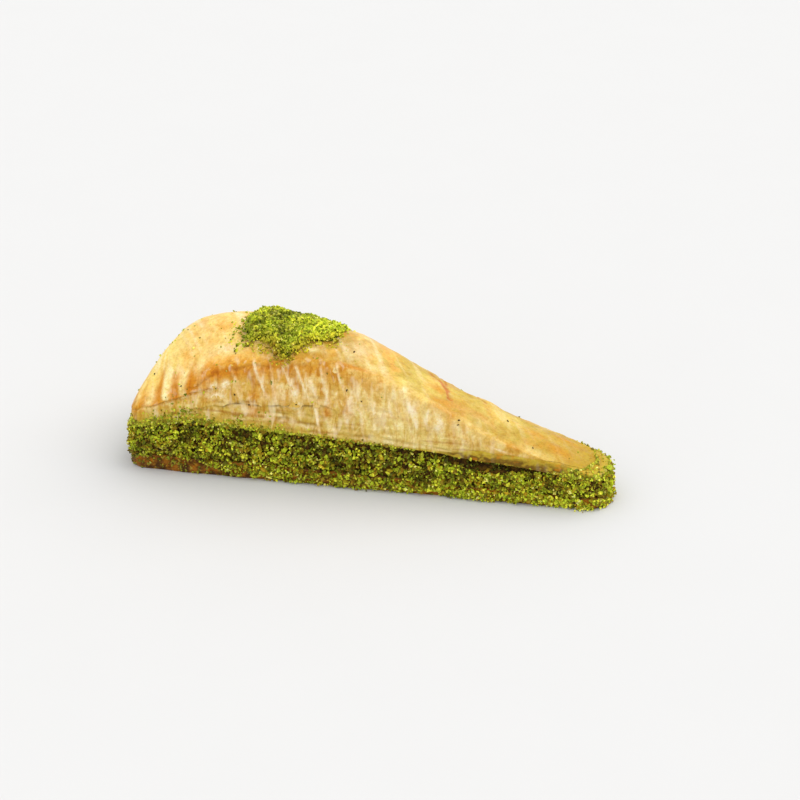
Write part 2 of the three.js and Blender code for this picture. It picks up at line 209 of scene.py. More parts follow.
def profile(knots):
    """A smooth height along X through (share of the length, height) knots."""
    shares, heights = np.array(knots, float).T
    order = np.arange(len(shares))
    before = np.maximum(order - 1, 0)
    after = np.minimum(order + 1, len(shares) - 1)
    slopes = (heights[after] - heights[before]) / (shares[after] - shares[before])

    def height(x):
        share = np.clip(np.asarray(x, float) / LENGTH + 0.5, 0, 1)
        i = np.clip(np.searchsorted(shares, share), 1, len(shares) - 1)
        span = shares[i] - shares[i - 1]
        t = (share - shares[i - 1]) / span
        rise = t * t * (3 - 2 * t)
        start = t * (1 - t) ** 2 * slopes[i - 1] * span
        end = t * t * (t - 1) * slopes[i] * span
        return lerp(heights[i - 1], heights[i], rise) + start + end

    return height


base_top = profile(BASE_TOP)
filling_top = profile(FILLING_TOP)
near_crease = profile(NEAR_CREASE)
far_crease = profile(FAR_CREASE)
crest = profile(CREST)


def knots_at(knots, place):
    """Value at a place, straight between (place, value) knots."""
    places, values = np.array(knots, float).T
    return np.interp(place, places, values)


def half_width(x):
    return lerp(RIM_HALF_WIDTH, TIP_HALF_WIDTH, np.clip(x / LENGTH + 0.5, 0, 1))


def crease(x, y):
    """Height of the crease between side and top, higher on the near side (-Y)."""
    far_share = np.clip(0.5 + 0.5 * y / half_width(x), 0, 1)
    return lerp(near_crease(x), far_crease(x), far_share)


def lattice_noise(points, size, seed):
    """Smooth noise from -1 to 1 with bumps of that size; size may differ along each axis."""
    place = np.asarray(points, float) / np.asarray(size, float)
    cell = np.floor(place).astype(np.int64)
    t = place - cell
    t = t * t * (3 - 2 * t)
    total = np.zeros(place.shape[:-1])
    for corner in np.ndindex(2, 2, 2):
        x, y, z = np.moveaxis(cell + corner, -1, 0)
        mixed = (x * 73856093) ^ (y * 19349663) ^ (z * 83492791) ^ (seed * 2654435761)
        mixed = ((mixed ^ (mixed >> 13)) * 1274126177) & 0xFFFFFFFF
        mixed = mixed ^ (mixed >> 16)
        weight = np.prod(np.where(corner, t, 1 - t), axis=-1)
        total += weight * (mixed / 0x7FFFFFFF - 1)
    return total


def rough(points, size, seed, octaves=3):
    """Layered noise, finer and weaker with each octave."""
    size = np.asarray(size, float)
    total = sum(lattice_noise(points, size / 2 ** i, seed + i) / 1.8 ** i for i in range(octaves))
    return total / sum(1 / 1.8 ** i for i in range(octaves))


def crumple(points, size, seed):
    """Sharp-crested noise like crumpled thin leaf, 0 to 1."""
    first = 1 - np.abs(lattice_noise(points, size, seed)) * 2.2
    second = 1 - np.abs(lattice_noise(points, np.asarray(size) / 2, seed + 1)) * 2.2
    return np.clip(0.65 * first + 0.35 * second, 0, 1)


def stacked(*columns):
    """Columns of numbers as one array of points."""
    return np.stack(np.broadcast_arrays(*columns), axis=-1)


# ------------------------------------------------------------------ outline


def bezier(start, control, end, steps=40):
    t = np.linspace(0, 1, steps)[:, None]
    start, control, end = (np.array(point, float) for point in (start, control, end))
    return (1 - t) ** 2 * start + 2 * t * (1 - t) * control + t * t * end


def half_outline():
    """Half of the plan, from the middle of the rim along the near side to the tip's middle."""
    rim, tip = -LENGTH / 2, LENGTH / 2
    side = np.array([LENGTH, RIM_HALF_WIDTH - TIP_HALF_WIDTH])
    side = side / np.linalg.norm(side)
    rim_corner = np.array([rim + RIM_BOW, -RIM_HALF_WIDTH])
    tip_corner = np.array([tip, -TIP_HALF_WIDTH])
    side_start = rim_corner + side * RIM_CORNER
    side_end = tip_corner - side * TIP_CORNER
    points = np.vstack([
        bezier((rim, 0), (rim, -RIM_HALF_WIDTH / 2), (rim_corner[0], RIM_CORNER - RIM_HALF_WIDTH)),
        bezier((rim_corner[0], RIM_CORNER - RIM_HALF_WIDTH), rim_corner, side_start),
        bezier(side_end, tip_corner, (tip, TIP_CORNER - TIP_HALF_WIDTH)),
    ])
    return points[np.r_[True, np.linalg.norm(np.diff(points, axis=0), axis=1) > 1e-6]]


OUTLINE = half_outline()
OUTLINE_RUN = np.r_[0, np.cumsum(np.linalg.norm(np.diff(OUTLINE, axis=0), axis=1))]
HALF_PERIMETER = OUTLINE_RUN[-1]


class Stations:
    """Places round the outline: their points, their ways out, and their middle-line points."""

    def __init__(self, around):
        """around runs from 0 to twice the half perimeter, near side first."""
        around = np.asarray(around, float) % (2 * HALF_PERIMETER)
        self.far = around > HALF_PERIMETER
        self.distance = np.where(self.far, 2 * HALF_PERIMETER - around, around)
        mirror = np.where(self.far, -1, 1)
        self.x = np.interp(self.distance, OUTLINE_RUN, OUTLINE[:, 0])
        self.y = np.interp(self.distance, OUTLINE_RUN, OUTLINE[:, 1]) * mirror
        low, high = MIDDLE_FROM_RIM - LENGTH / 2, LENGTH / 2 - MIDDLE_FROM_TIP
        self.middle_x = np.clip(self.x, low, high)
        out = np.stack([self.x - self.middle_x, self.y], axis=-1)
        self.out = out / np.linalg.norm(out, axis=-1, keepdims=True)

    def point_out(self, outward, z):
        return stacked(self.x, self.y, z) + self.step_out(outward)

    def step_out(self, outward):
        return stacked(self.out[..., 0] * outward, self.out[..., 1] * outward, 0.0)

    def middle(self, z):
        return stacked(self.middle_x, 0.0, z)


def even_stations(step):
    """Stations all the way round, alike on both sides so that the halves meet in the middle."""
    half = int(round(HALF_PERIMETER / step))
    return Stations(np.arange(2 * half) * HALF_PERIMETER / half)


# ------------------------------------------------------------------ form of the roof


def lean_in(x, z):
    return WALL_LEAN * np.maximum(0, z - filling_top(x))


def ripple(x, inward):
    waves = sum(height * np.sin(x / length + turn * inward) for height, length, turn in RIPPLES)
    kink = KINK_DEPTH * bell((x - KINK_X + KINK_SLANT * inward) / KINK_WIDTH)
    return inward * (waves - kink)


def roof_height(x, middle_x, y, inward):
    edge = crease(x, y)
    rise = (crest(middle_x) - edge) * np.sin(inward * np.pi / 2)
    return edge + rise + ripple(lerp(x, middle_x, inward), inward)


def roof_at(x, y):
    """Height of the roof over points that aren't in its rounded ends."""
    side = np.where(y < 0, -1, 1) * half_width(x)
    edge = crease(x, side)
    reach = half_width(x) - lean_in(x, edge)
    return roof_height(x, x, side, np.clip(1 - np.abs(y) / reach, 0, 1))


class Columns:
    """Stations spread against heights: 0 at the roof's foot, 1 at the crease, 2 on the crest."""

    def __init__(self, stations, height):
        self.height = np.broadcast_to(height, (len(stations.x), np.shape(height)[-1]))
        self.x = np.broadcast_to(stations.x[:, None], self.height.shape)
        self.y = stations.y[:, None]
        self.far = np.broadcast_to(stations.far[:, None], self.height.shape)
        self.distance = np.broadcast_to(stations.distance[:, None], self.height.shape)
        self.middle_x = stations.middle_x[:, None]
        self.out = stations.out[:, None]
        self.bottom = filling_top(self.x) + GAP - self.sag()
        self.top = crease(self.x, self.y)
        self.relief = np.clip((self.top - self.bottom) / FULL_RELIEF_HEIGHT, 0.15, 1)

    def sag(self):
        """How far the wet foot of the leaves hangs over the filling near the tip."""
        return 0.7 * within(self.x, 26, 79, 8)

    def plain(self):
        """Points of the roof with its shoulder rounded, before its relief."""
        inward = np.maximum(self.height - 1, 0)
        wall_z = lerp(self.bottom, self.top, np.minimum(self.height, 1))
        roof_z = roof_height(self.x, self.middle_x, self.y, inward)
        edge = stacked(self.x, self.y, 0.0)
        edge[..., :2] -= self.out * lean_in(self.x, wall_z)[..., None]
        points = lerp(edge, stacked(self.middle_x, 0.0, 0.0), inward[..., None])
        points[..., 2] = np.where(self.height <= 1, wall_z, roof_z)
        spread = 0.11 + 0.16 * smoothstep(self.x, 2, 28)
        weight = (0.9 * bell((self.height - 1.02) / spread) * self.relief)[:, 1:-1, None]
        for _ in range(SHOULDER_PASSES):
            smooth = (points[:, :-2] + 2 * points[:, 1:-1] + points[:, 2:]) / 4
            points[:, 1:-1] = lerp(points[:, 1:-1], smooth, weight)
        return points

    def normals(self, points):
        """Ways out of the surface: straight up along the crest, where both sides meet."""
        around = np.roll(points, -1, axis=0) - np.roll(points, 1, axis=0)
        upward = np.gradient(points, axis=1)
        normal = np.cross(around, upward)
        length = np.linalg.norm(normal, axis=-1, keepdims=True)
        normal = normal / np.maximum(length, 1e-9)
        outward = stacked(self.out[..., 0], self.out[..., 1], np.full(self.height.shape, 0.4))
        normal = np.where(np.sum(normal * outward, axis=-1, keepdims=True) < 0, -normal, normal)
        normal = np.where(length > 1e-7, normal, (0, 0, 1))
        up = smoothstep(self.height, 1.75, 1.98)[..., None]
        normal = lerp(normal, np.array((0, 0, 1)), up)
        return normal / np.linalg.norm(normal, axis=-1, keepdims=True)


# ------------------------------------------------------------------ lines of the leaves

# Heights of lines along the near side, by x in mm. The far side has them too, shifted.
LEAF_EDGE = (
    (-80, 0.97), (-72.7, 1.0), (-68.8, 0.9), (-64.4, 0.85), (-60, 0.76),
    (-57.5, 0.76), (-54.8, 0.8), (-49, 0.72), (-44, 0.66), (80, 0.6),
)
TIER = (
    (-80, 0.42), (-60, 0.36), (-52, 0.35), (-44, 0.38), (-38.6, 0.43), (-32, 0.38), (-24, 0.41),
    (-12, 0.48), (-6, 0.4), (0, 0.2), (6, 0.05), (22, 0.03), (28, 0.09), (33, 0.2), (39, 0.36),
    (44, 0.43), (54.1, 0.7), (60.6, 0.98), (65, 1.12), (70, 1.2), (80, 1.25),
)
ARC = (
    (-80, 1.25), (-60, 1.1), (-54, 0.84), (-50, 0.93), (-43, 0.97), (-34, 1.0), (-29, 0.94),
    (-19, 0.97), (-10, 1.08), (-3.4, 1.12), (3, 1.16), (7.5, 1.22), (11, 1.16), (14.4, 1.09),
    (22.4, 1.2), (80, 1.3),
)
FAR_SHIFT = 5.0


def along(knots, columns):
    return knots_at(knots, np.where(columns.far, columns.x + FAR_SHIFT, columns.x))


def wobbly(columns, size, seed):
    """Noise that changes round the slice but not up its side."""
    return lattice_noise(stacked(columns.x, 40.0 * columns.far, columns.distance / 50), size, seed)


def wavy_line(knots, columns, *waves):
    """A leaf's edge along its knots, with waves of (height, length, seed)."""
    line = along(knots, columns)
    for height, length, seed in waves:
        line = line + height * wobbly(columns, length, seed)
    return line


def leaf_edge(columns):
    """Height of the folded skin's lower edge, and how strongly it shows."""
    line = wavy_line(LEAF_EDGE, columns, (0.032, 3.0, 101), (0.018, 1.1, 102))
    return line, falling(columns.x, -49, -43)


def tier(columns):
    """Height of the pleated skin's lower edge."""
    return wavy_line(TIER, columns, (0.02, 4.0, 103), (0.012, 1.3, 104))


def tier_shown(columns):
    """How strongly the lower edge of the pleated skin shows."""
    x = columns.x
    patchy = 0.55 + 0.6 * wobbly(columns, 6.0, 108)
    left = within(x, -62, -2, 10) * (0.35 + 0.75 * bell((x + 30) / 18)) * patchy
    return np.clip(left + 0.3 * within(x, 36, 80, 10), 0, 1)


def arc(columns):
    """Height of the line where the top skin ends over the pleats, and how strongly it shows."""
    line = wavy_line(ARC, columns, (0.02, 5.0, 105), (0.008, 1.5, 106))
    return line, smoothstep(columns.x, -60, -53) * (1 - 0.75 * smoothstep(columns.x, -14, 22))


# Ridges of the near side: x and z of the top, slant, z of the bottom, strength, half width.
RIDGES = (
    (-34.6, 41.2, 0.44, 28.5, 1.0, 0.5), (-24.9, 40.8, 0.4, 33.0, 0.85, 0.42),
    (-20.6, 41.0, 0.45, 29.0, 1.0, 0.5), (-28.6, 36.0, 0.25, 25.5, 0.6, 0.6),
    (-22.3, 36.5, 0.4, 30.0, 0.8, 0.8), (-16.2, 37.5, 0.4, 31.0, 0.7, 0.6),
    (-12.9, 41.5, 0.25, 34.5, 0.8, 0.5), (-7.6, 42.0, 0.35, 35.0, 0.75, 0.5),
    (-13.4, 28.0, 0.15, 18.5, 0.85, 0.55), (-10.6, 34.0, 0.1, 28.5, 0.5, 0.7),
    (0.9, 27.5, 0.1, 19.5, 0.7, 0.6), (5.2, 31.0, 0.05, 24.5, 0.8, 0.6),
    (-3.0, 32.0, 0.1, 24.0, 0.45, 0.9), (14.4, 37.0, 0.34, 26.5, 0.75, 0.8),
    (22.9, 30.0, -0.15, 24.0, 0.7, 0.6), (26.4, 28.6, 0.3, 22.5, 0.85, 0.6),
    (33.4, 22.5, 0.8, 19.0, 0.8, 0.5), (-40.5, 36.0, 0.5, 30.5, 0.5, 0.6),
    (10.0, 33.0, 0.15, 26.0, 0.5, 0.7), (18.6, 30.5, 0.1, 22.0, 0.55, 0.7),
)
SMALL_RIDGES = 34
FAR_RIDGES = 46


def ridge_lists():
    """The ridges of each side: the near side's own, small ones between them, the far side's."""
    random = np.random.default_rng(7)
    near, far = list(RIDGES), []
    for ridges, count, low, high in ((near, SMALL_RIDGES, 0.15, 0.42), (far, FAR_RIDGES, 0.25, 1.0)):
        for x in np.linspace(-50, 38, count):
            x = x + random.uniform(-1.5, 1.5)
            foot, head = filling_top(x) + 1, near_crease(x) if ridges is near else far_crease(x)
            top = lerp(foot, head, random.uniform(0.45, 1.0))
            bottom = lerp(foot, top, random.uniform(0.0, 0.6))
            strength = random.uniform(low, high)
            slant = random.uniform(0.05, 0.5)
            width = random.uniform(0.35, 0.75)
            ridges.append((x, top, slant, bottom, strength, width))
    return near, far


def ridge_field(columns, z):
    """0 between the ridges of the pleats, up to about 1 along them."""
    near, far = ridge_lists()
    bend = 0.3 * lattice_noise(stacked(columns.x, 30.0 * columns.far, z), (4.5, 1, 6), 8)
    total = np.zeros(columns.height.shape)
    for ridges, side in ((near, ~columns.far), (far, columns.far)):
        for x, top, slant, bottom, strength, width in ridges:
            across = columns.x + bend - x - slant * (top - z)
            fade = smoothstep(z, bottom - 0.5, bottom + 3) * falling(z, top - 0.8, top + 1.2)
            total += side * strength * fade * bell(across / width / RIDGE_WIDTH)
    total *= 0.95 + 0.4 * lattice_noise(stacked(columns.x / 3, 30.0 * columns.far, z), (1, 1, 3.5), 9)
    return np.clip(total, 0, 1.15) * falling(columns.height, 1.05, 1.25)


def fold_turn(columns):
    """Number of folds counted round the rim end."""
    place = stacked(columns.distance, 30.0 * columns.far, 3.0 * columns.height)
    drift = 1.1 * lattice_noise(place, (6, 1, 1.5), 11) + 0.45 * lattice_noise(place, (2.4, 1, 1.2), 14)
    lean = FOLD_SLANT * (columns.height - 1.16)
    return (columns.distance - FOLD_START_RUN + drift + lean) / FOLD_PITCH


def fold_field(columns):
    """-1 in the valleys and 1 on the ridges of the upright folds, and how deep they are."""
    turn = fold_turn(columns)
    place = stacked(np.round(turn), 9.0 * columns.far, 0.0)
    uneven = 0.8 + 0.4 * lattice_noise(place, 1, 13)
    edge, _ = leaf_edge(columns)
    start = smoothstep(columns.height, edge - 0.01, edge + 0.1)
    until = 1.2 + 0.06 * columns.far + 0.16 * lattice_noise(place, 1, 12)
    end = falling(columns.height, until - 0.16, until + 0.16)
    corner = np.where(columns.far, 1.0, 0.4 + 0.6 * smoothstep(columns.x, -75, -69))
    window = start * end * falling(columns.x, -60, -49) * uneven * corner
    return np.cos(2 * np.pi * turn), np.clip(window, 0, 1.2)


# Swellings and hollows along the crest: x in mm, rise, half length.
SWELLS = (
    (-80.0, -1.3, 9.0), (-5.0, 0.6, 4.0), (7.0, 0.2, 5.0), (19.5, 0.8, 4.5), (28.0, 0.9, 4.5),
    (37.0, 1.5, 5.0), (46.5, 1.0, 5.0), (57.0, -0.2, 4.0), (68.0, -0.4, 5.0),
)

# Cracks of the top skin where the roof starts to fall: both ends in plan, and half width.
CRACKS = (
    (17.4, 6.4, 25.4, -0.6, 0.5), (19.4, 10.0, 24.4, 2.0, 0.45), (22.0, 3.0, 27.5, -5.0, 0.5),
    (-27.0, 19.0, -20.0, 9.0, 0.4), (30.0, 8.0, 37.0, 3.0, 0.4),
)


def crack_field(points):
    """1 in the middle of a crack, 0 away from it."""
    spot = points[..., :2] + 0.7 * lattice_noise(points, 2.2, 24)[..., None]
    total = np.zeros(points.shape[:-1])
    for x0, y0, x1, y1, width in CRACKS:
        start, run = np.array((x0, y0)), np.array((x1 - x0, y1 - y0))
        share = np.clip(((spot - start) @ run) / (run @ run), 0, 1)
        off = np.linalg.norm(spot - start - share[..., None] * run, axis=-1)
        total += bell(off / width)
    return np.clip(total, 0, 1)


def roof_relief(columns, points):
    """How far the leaves stand out of the plain roof, and the fields that also colour them."""
    height, x, z = columns.height, columns.x, points[..., 2]
    edge, edge_shown = leaf_edge(columns)
    arc_at, arc_shown = arc(columns)
    ridges = ridge_field(columns, z)
    folds, fold_depth = fold_field(columns)
    wall = falling(height, 0.95, 1.15)
    out = RIDGE_HEIGHT * ridges
    out += FOLD_HEIGHT * fold_depth * (np.abs(folds) ** 0.8 * np.sign(folds) - 0.1)
    swell = sum(rise * bell((x - at) / size) for at, rise, size in SWELLS)
    out += swell * smoothstep(height, 1.0, 1.6)
    hollow = 0.3 * bell((height - edge + 0.035) / 0.03)
    out += edge_shown * (0.5 * smoothstep(height - edge, -0.012, 0.012) - 0.25 - hollow)
    proud = arc_shown * (1 - 0.75 * smoothstep(x, -34, -18))
    out -= 0.4 * proud * bell((height - arc_at + 0.02) / 0.03)
    out += 0.25 * proud * bell((height - arc_at - 0.06) / 0.06)
    torn = bell((height - 0.62) / 0.17) * within(x, -52, 6, 8)
    out += 0.32 * torn * (crumple(points, (2.2, 2.2, 3.2), 15) - 0.5)
    out += 0.3 * wall * rough(points, (3.2, 3.2, 6), 16)
    out += 0.45 * (1 - wall) * rough(points, (9, 9, 9), 17)
    out += 0.08 * rough(points, (1.1, 1.1, 1.6), 18)
    y = points[..., 1]
    drape = crumple(stacked(x - 0.9 * y, 0.6 * y, 0.7 * z), (7, 4, 4), 23)
    out += 0.5 * smoothstep(x, 0, 24) * (drape - 0.5) * falling(height, 1.9, 2)
    wrinkles = crumple(stacked(x + 1.4 * y, 0.0, z), (2.6, 1, 7), 19)
    near_shoulder = bell((height - 1.28) / 0.2) * within(x, -62, -12, 12)
    out += 0.22 * near_shoulder * (wrinkles - 0.5)
    cracks = crack_field(points)
    out -= 0.4 * cracks
    fade = np.clip(columns.relief + 0.2 * smoothstep(height, 1, 1.4), 0, 1)
    return out * fade, dict(ridges=ridges, folds=folds, fold_depth=fold_depth, torn=torn, cracks=cracks)


# ------------------------------------------------------------------ heap


# The heap's edge as seen from its middle: angle, reach in mm.
HEAP_EDGE_REACH = (
    (-3.15, 16.0), (-2.78, 17.8), (-2.59, 18.4), (-2.42, 18.2), (-2.32, 15.6), (-2.15, 13.8),
    (-1.87, 12.6), (-1.68, 15.0), (-1.52, 16.6), (-1.39, 16.2), (-1.3, 13.4), (-1.13, 12.0),
    (-0.95, 11.4), (-0.73, 11.0), (-0.54, 12.8), (-0.44, 14.8), (-0.29, 16.4), (-0.1, 16.8),
    (0.11, 17.6), (0.5, 16.0), (0.85, 11.8), (1.2, 9.6), (1.57, 9.2), (2.0, 9.8), (2.35, 13.0),
    (2.65, 16.6), (2.9, 16.4), (3.15, 16.0),
)


def heap_thickness(share):
    return lerp(HEAP_EDGE, HEAP_HEIGHT, np.sqrt(np.maximum(0, 1 - share * share)))


def heap_point(angle, share, lift):
    reach = share * knots_at(HEAP_EDGE_REACH, angle)
    x = HEAP_X + reach * np.cos(angle)
    y = HEAP_Y + reach * np.sin(angle)
    return stacked(x, y, roof_at(x, y) + GAP + lift)


# ------------------------------------------------------------------ mesh helpers


def deselect_all():
    if bpy.context.mode != "OBJECT":
        bpy.ops.object.mode_set(mode="OBJECT")
    bpy.ops.object.select_all(action="DESELECT")


def select_only(piece):
    deselect_all()
    bpy.context.view_layer.objects.active = piece
    piece.select_set(True)


def finish_normals(piece):
    """Merges doubled points and turns every face outwards."""
    select_only(piece)
    bpy.ops.object.mode_set(mode="EDIT")
    bpy.ops.mesh.select_all(action="SELECT")
    bpy.ops.mesh.remove_doubles(threshold=MERGE_DISTANCE)
    bpy.ops.mesh.normals_make_consistent(inside=False)
    bpy.ops.object.mode_set(mode="OBJECT")
    bpy.ops.object.shade_smooth()


def shaped_grid(name, points, tint=None):
    """A grid primitive whose points are moved to a closed (around, up, 3) array in millimetres.

    tint is an (around, up, 3) array of colours as light, for the material to read."""
    rows = points.shape[1]
    points = np.concatenate([points, points[:1]])
    deselect_all()
    bpy.ops.mesh.primitive_grid_add(
        x_subdivisions=points.shape[0] - 1, y_subdivisions=rows - 1, size=1,
    )
    piece = bpy.context.object
    piece.name = name
    piece.data.name = name
    flat = np.empty(len(piece.data.vertices) * 3)
    piece.data.vertices.foreach_get("co", flat)
    place = flat.reshape(-1, 3) + 0.5
    column = np.rint(place[:, 0] * (points.shape[0] - 1)).astype(int)
    row = np.rint(place[:, 1] * (rows - 1)).astype(int)
    piece.data.vertices.foreach_set("co", (points[column, row] * MM).ravel())
    if tint is not None:
        tint = np.clip(np.concatenate([tint, tint[:1]]), 0, 1)[column, row]
        paint(piece.data, tint)
    piece.data.update()
    finish_normals(piece)
    return piece


def paint(mesh, tint):
    """Stores a colour as light for each point of a mesh; a fourth number is kept as a mask."""
    attribute = mesh.attributes.new("tint", "FLOAT_COLOR", "POINT")
    if tint.shape[1] == 3:
        tint = np.concatenate([tint, np.ones((len(tint), 1))], axis=1)
    attribute.data.foreach_set("color", tint.ravel())


def apply_modifiers(piece):
    select_only(piece)
    for modifier in list(piece.modifiers):
        bpy.ops.object.modifier_apply(modifier=modifier.name)


def settle(piece, slot, material, *nodes):
    """Gives a piece its material and body, and hides the CAD nodes it stands for. The slot is not used.
    """
    piece.data.materials.clear()
    piece.data.materials.append(material)
    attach(piece, "root")
    if nodes:
        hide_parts(*nodes)


# ------------------------------------------------------------------ granules

GRANULE_SHAPES = 16
FLAKE_SHAPES = 10


def taken_apart(piece):
    """Points and faces of a made piece, which is then removed."""
    points = [vertex.co[:] for vertex in piece.data.vertices]
    faces = [polygon.vertices[:] for polygon in piece.data.polygons]
    mesh = piece.data
    bpy.data.objects.remove(piece)
    bpy.data.meshes.remove(mesh)
    return np.array(points), np.array(faces)


def uneven_shapes(count, offset, seed, add, stretch=None, finish=None):
    """Points of copies of a primitive, each stretched and moved about at random, and their faces."""
    made = []
    for shape in range(count):
        deselect_all()
        add()
        bit = bpy.context.object
        bpy.ops.object.mode_set(mode="EDIT")
        bpy.ops.mesh.select_all(action="SELECT")
        if stretch:
            bpy.ops.transform.resize(value=stretch(shape))
        bpy.ops.transform.vertex_random(offset=offset, uniform=1.0, normal=0.0, seed=shape + seed)
        bpy.ops.object.mode_set(mode="OBJECT")
        if finish:
            finish(bit)
        made.append(taken_apart(bit))
    return np.array([points for points, _ in made]), made[0][1]


def granule_shapes():
    """Uneven broken bits about 1 mm in radius."""
    return uneven_shapes(
        GRANULE_SHAPES, 0.46, 1,
        lambda: bpy.ops.mesh.primitive_ico_sphere_add(subdivisions=1, radius=1),
        lambda shape: (1.35, 0.95 - 0.03 * (shape % 5), 0.62 + 0.05 * (shape % 4)),
    )


def fine_shapes():
    """Small six-faced bits."""
    return uneven_shapes(
        GRANULE_SHAPES, 0.42, 71, lambda: bpy.ops.mesh.primitive_cube_add(size=1.25),
        lambda shape: (1.25, 1.0, 0.8),
    )


def curl(flake):
    """Curls a flake out at its lower edge and gives it its thickness."""
    for vertex in flake.data.vertices:
        x, y, z = vertex.co
        vertex.co = (x * (1 - 0.25 * y), y, 0.35 * z + 0.12 * (y - 1) ** 2 - 0.1 * x * x)
    flake.modifiers.new("thickness", "SOLIDIFY").thickness = 0.1
    apply_modifiers(flake)


def flake_shapes():
    """Thin torn bits of leaf, about 1 mm across."""
    return uneven_shapes(
        FLAKE_SHAPES, 0.32, 31,
        lambda: bpy.ops.mesh.primitive_grid_add(x_subdivisions=5, y_subdivisions=3, size=2),
        finish=curl,
    )


def random_turns(random, count):
    """Random rotation matrices."""
    q = random.normal(size=(count, 4))
    w, x, y, z = (q / np.linalg.norm(q, axis=1, keepdims=True)).T
    rows = [
        [1 - 2 * (y * y + z * z), 2 * (x * y - z * w), 2 * (x * z + y * w)],
        [2 * (x * y + z * w), 1 - 2 * (x * x + z * z), 2 * (y * z - x * w)],
        [2 * (x * z - y * w), 2 * (y * z + x * w), 1 - 2 * (x * x + y * y)],
    ]
    return np.moveaxis(np.array(rows), -1, 0)


def joined_copies(name, made, chosen, centres, frames, tints):
    """One piece of many copies: each of a chosen shape, in its own frame, at its own place."""
    shapes, faces = made
    points = centres[:, None] + np.einsum("nij,nvj->nvi", frames, shapes[chosen])
    points[..., 2] += np.maximum(0, FLOOR_CLEARANCE - points[..., 2].min(axis=1))[:, None]
    per_copy = shapes.shape[1]
    index = faces[None] + per_copy * np.arange(len(centres))[:, None, None]
    mesh = bpy.data.meshes.new(name)
    corners = index.reshape(-1, faces.shape[1])
    mesh.from_pydata((points.reshape(-1, 3) * MM).tolist(), [], corners.tolist())
    paint(mesh, np.repeat(tints, per_copy, axis=0))
    piece = bpy.data.objects.new(name, mesh)
    bpy.context.scene.collection.objects.link(piece)
    return piece


def granules(name, centres, radii, tints, random, fine=False):
    """One piece of joined bits of pistachio, each turned and stretched its own way."""
    made = fine_shapes() if fine else granule_shapes()
    count = len(centres)
    chosen = random.integers(0, GRANULE_SHAPES, count)
    stretch = random.uniform(0.75, 1.25, (count, 1, 3)) * radii[:, None, None]
    return joined_copies(name, made, chosen, centres, random_turns(random, count) * stretch, tints)


def linear(colour):
    """Screen colour, 0 to 1 or 0 to 255, as light."""
    value = np.asarray(colour, float)
    value = value / 255 if value.max() > 1 else value
    return np.where(value <= 0.04045, value / 12.92, ((value + 0.055) / 1.055) ** 2.4)


# Colours of ground pistachio, as they look on screen, and how common each is in a place. The spread from
# dark to pale also stands in, in part, for the light and shade among the bits.
BIT_COLOURS = {
    "bright": (198, 200, 56), "lime": (158, 174, 40), "green": (122, 138, 20), "olive": (118, 98, 8),
    "dark": (52, 48, 6), "pale": (236, 228, 120), "brown": (128, 92, 14), "skin": (86, 44, 12),
}
FILLING_MIX = {
    "bright": 0.16, "lime": 0.18, "green": 0.18, "olive": 0.18,
    "dark": 0.1, "pale": 0.03, "brown": 0.14, "skin": 0.03,
}
HEAP_MIX = {"bright": 0.32, "lime": 0.3, "green": 0.22, "olive": 0.05, "dark": 0.06, "pale": 0.05}
DUST_MIX = {"bright": 0.4, "lime": 0.15, "green": 0.15, "olive": 0.15, "pale": 0.1, "brown": 0.05}


def bit_tints(mix, random, count):
    names = list(mix)
    shares = np.array([mix[name] for name in names])
    palette = np.array([linear(BIT_COLOURS[name]) for name in names])
    shares = shares / shares.sum()
    chosen = lerp(palette[random.choice(len(names), count, p=shares)], shares @ palette, 0.25)
    return np.clip(chosen * random.uniform(0.7, 1.35, (count, 1)), 0, 1)


# ------------------------------------------------------------------ material helpers


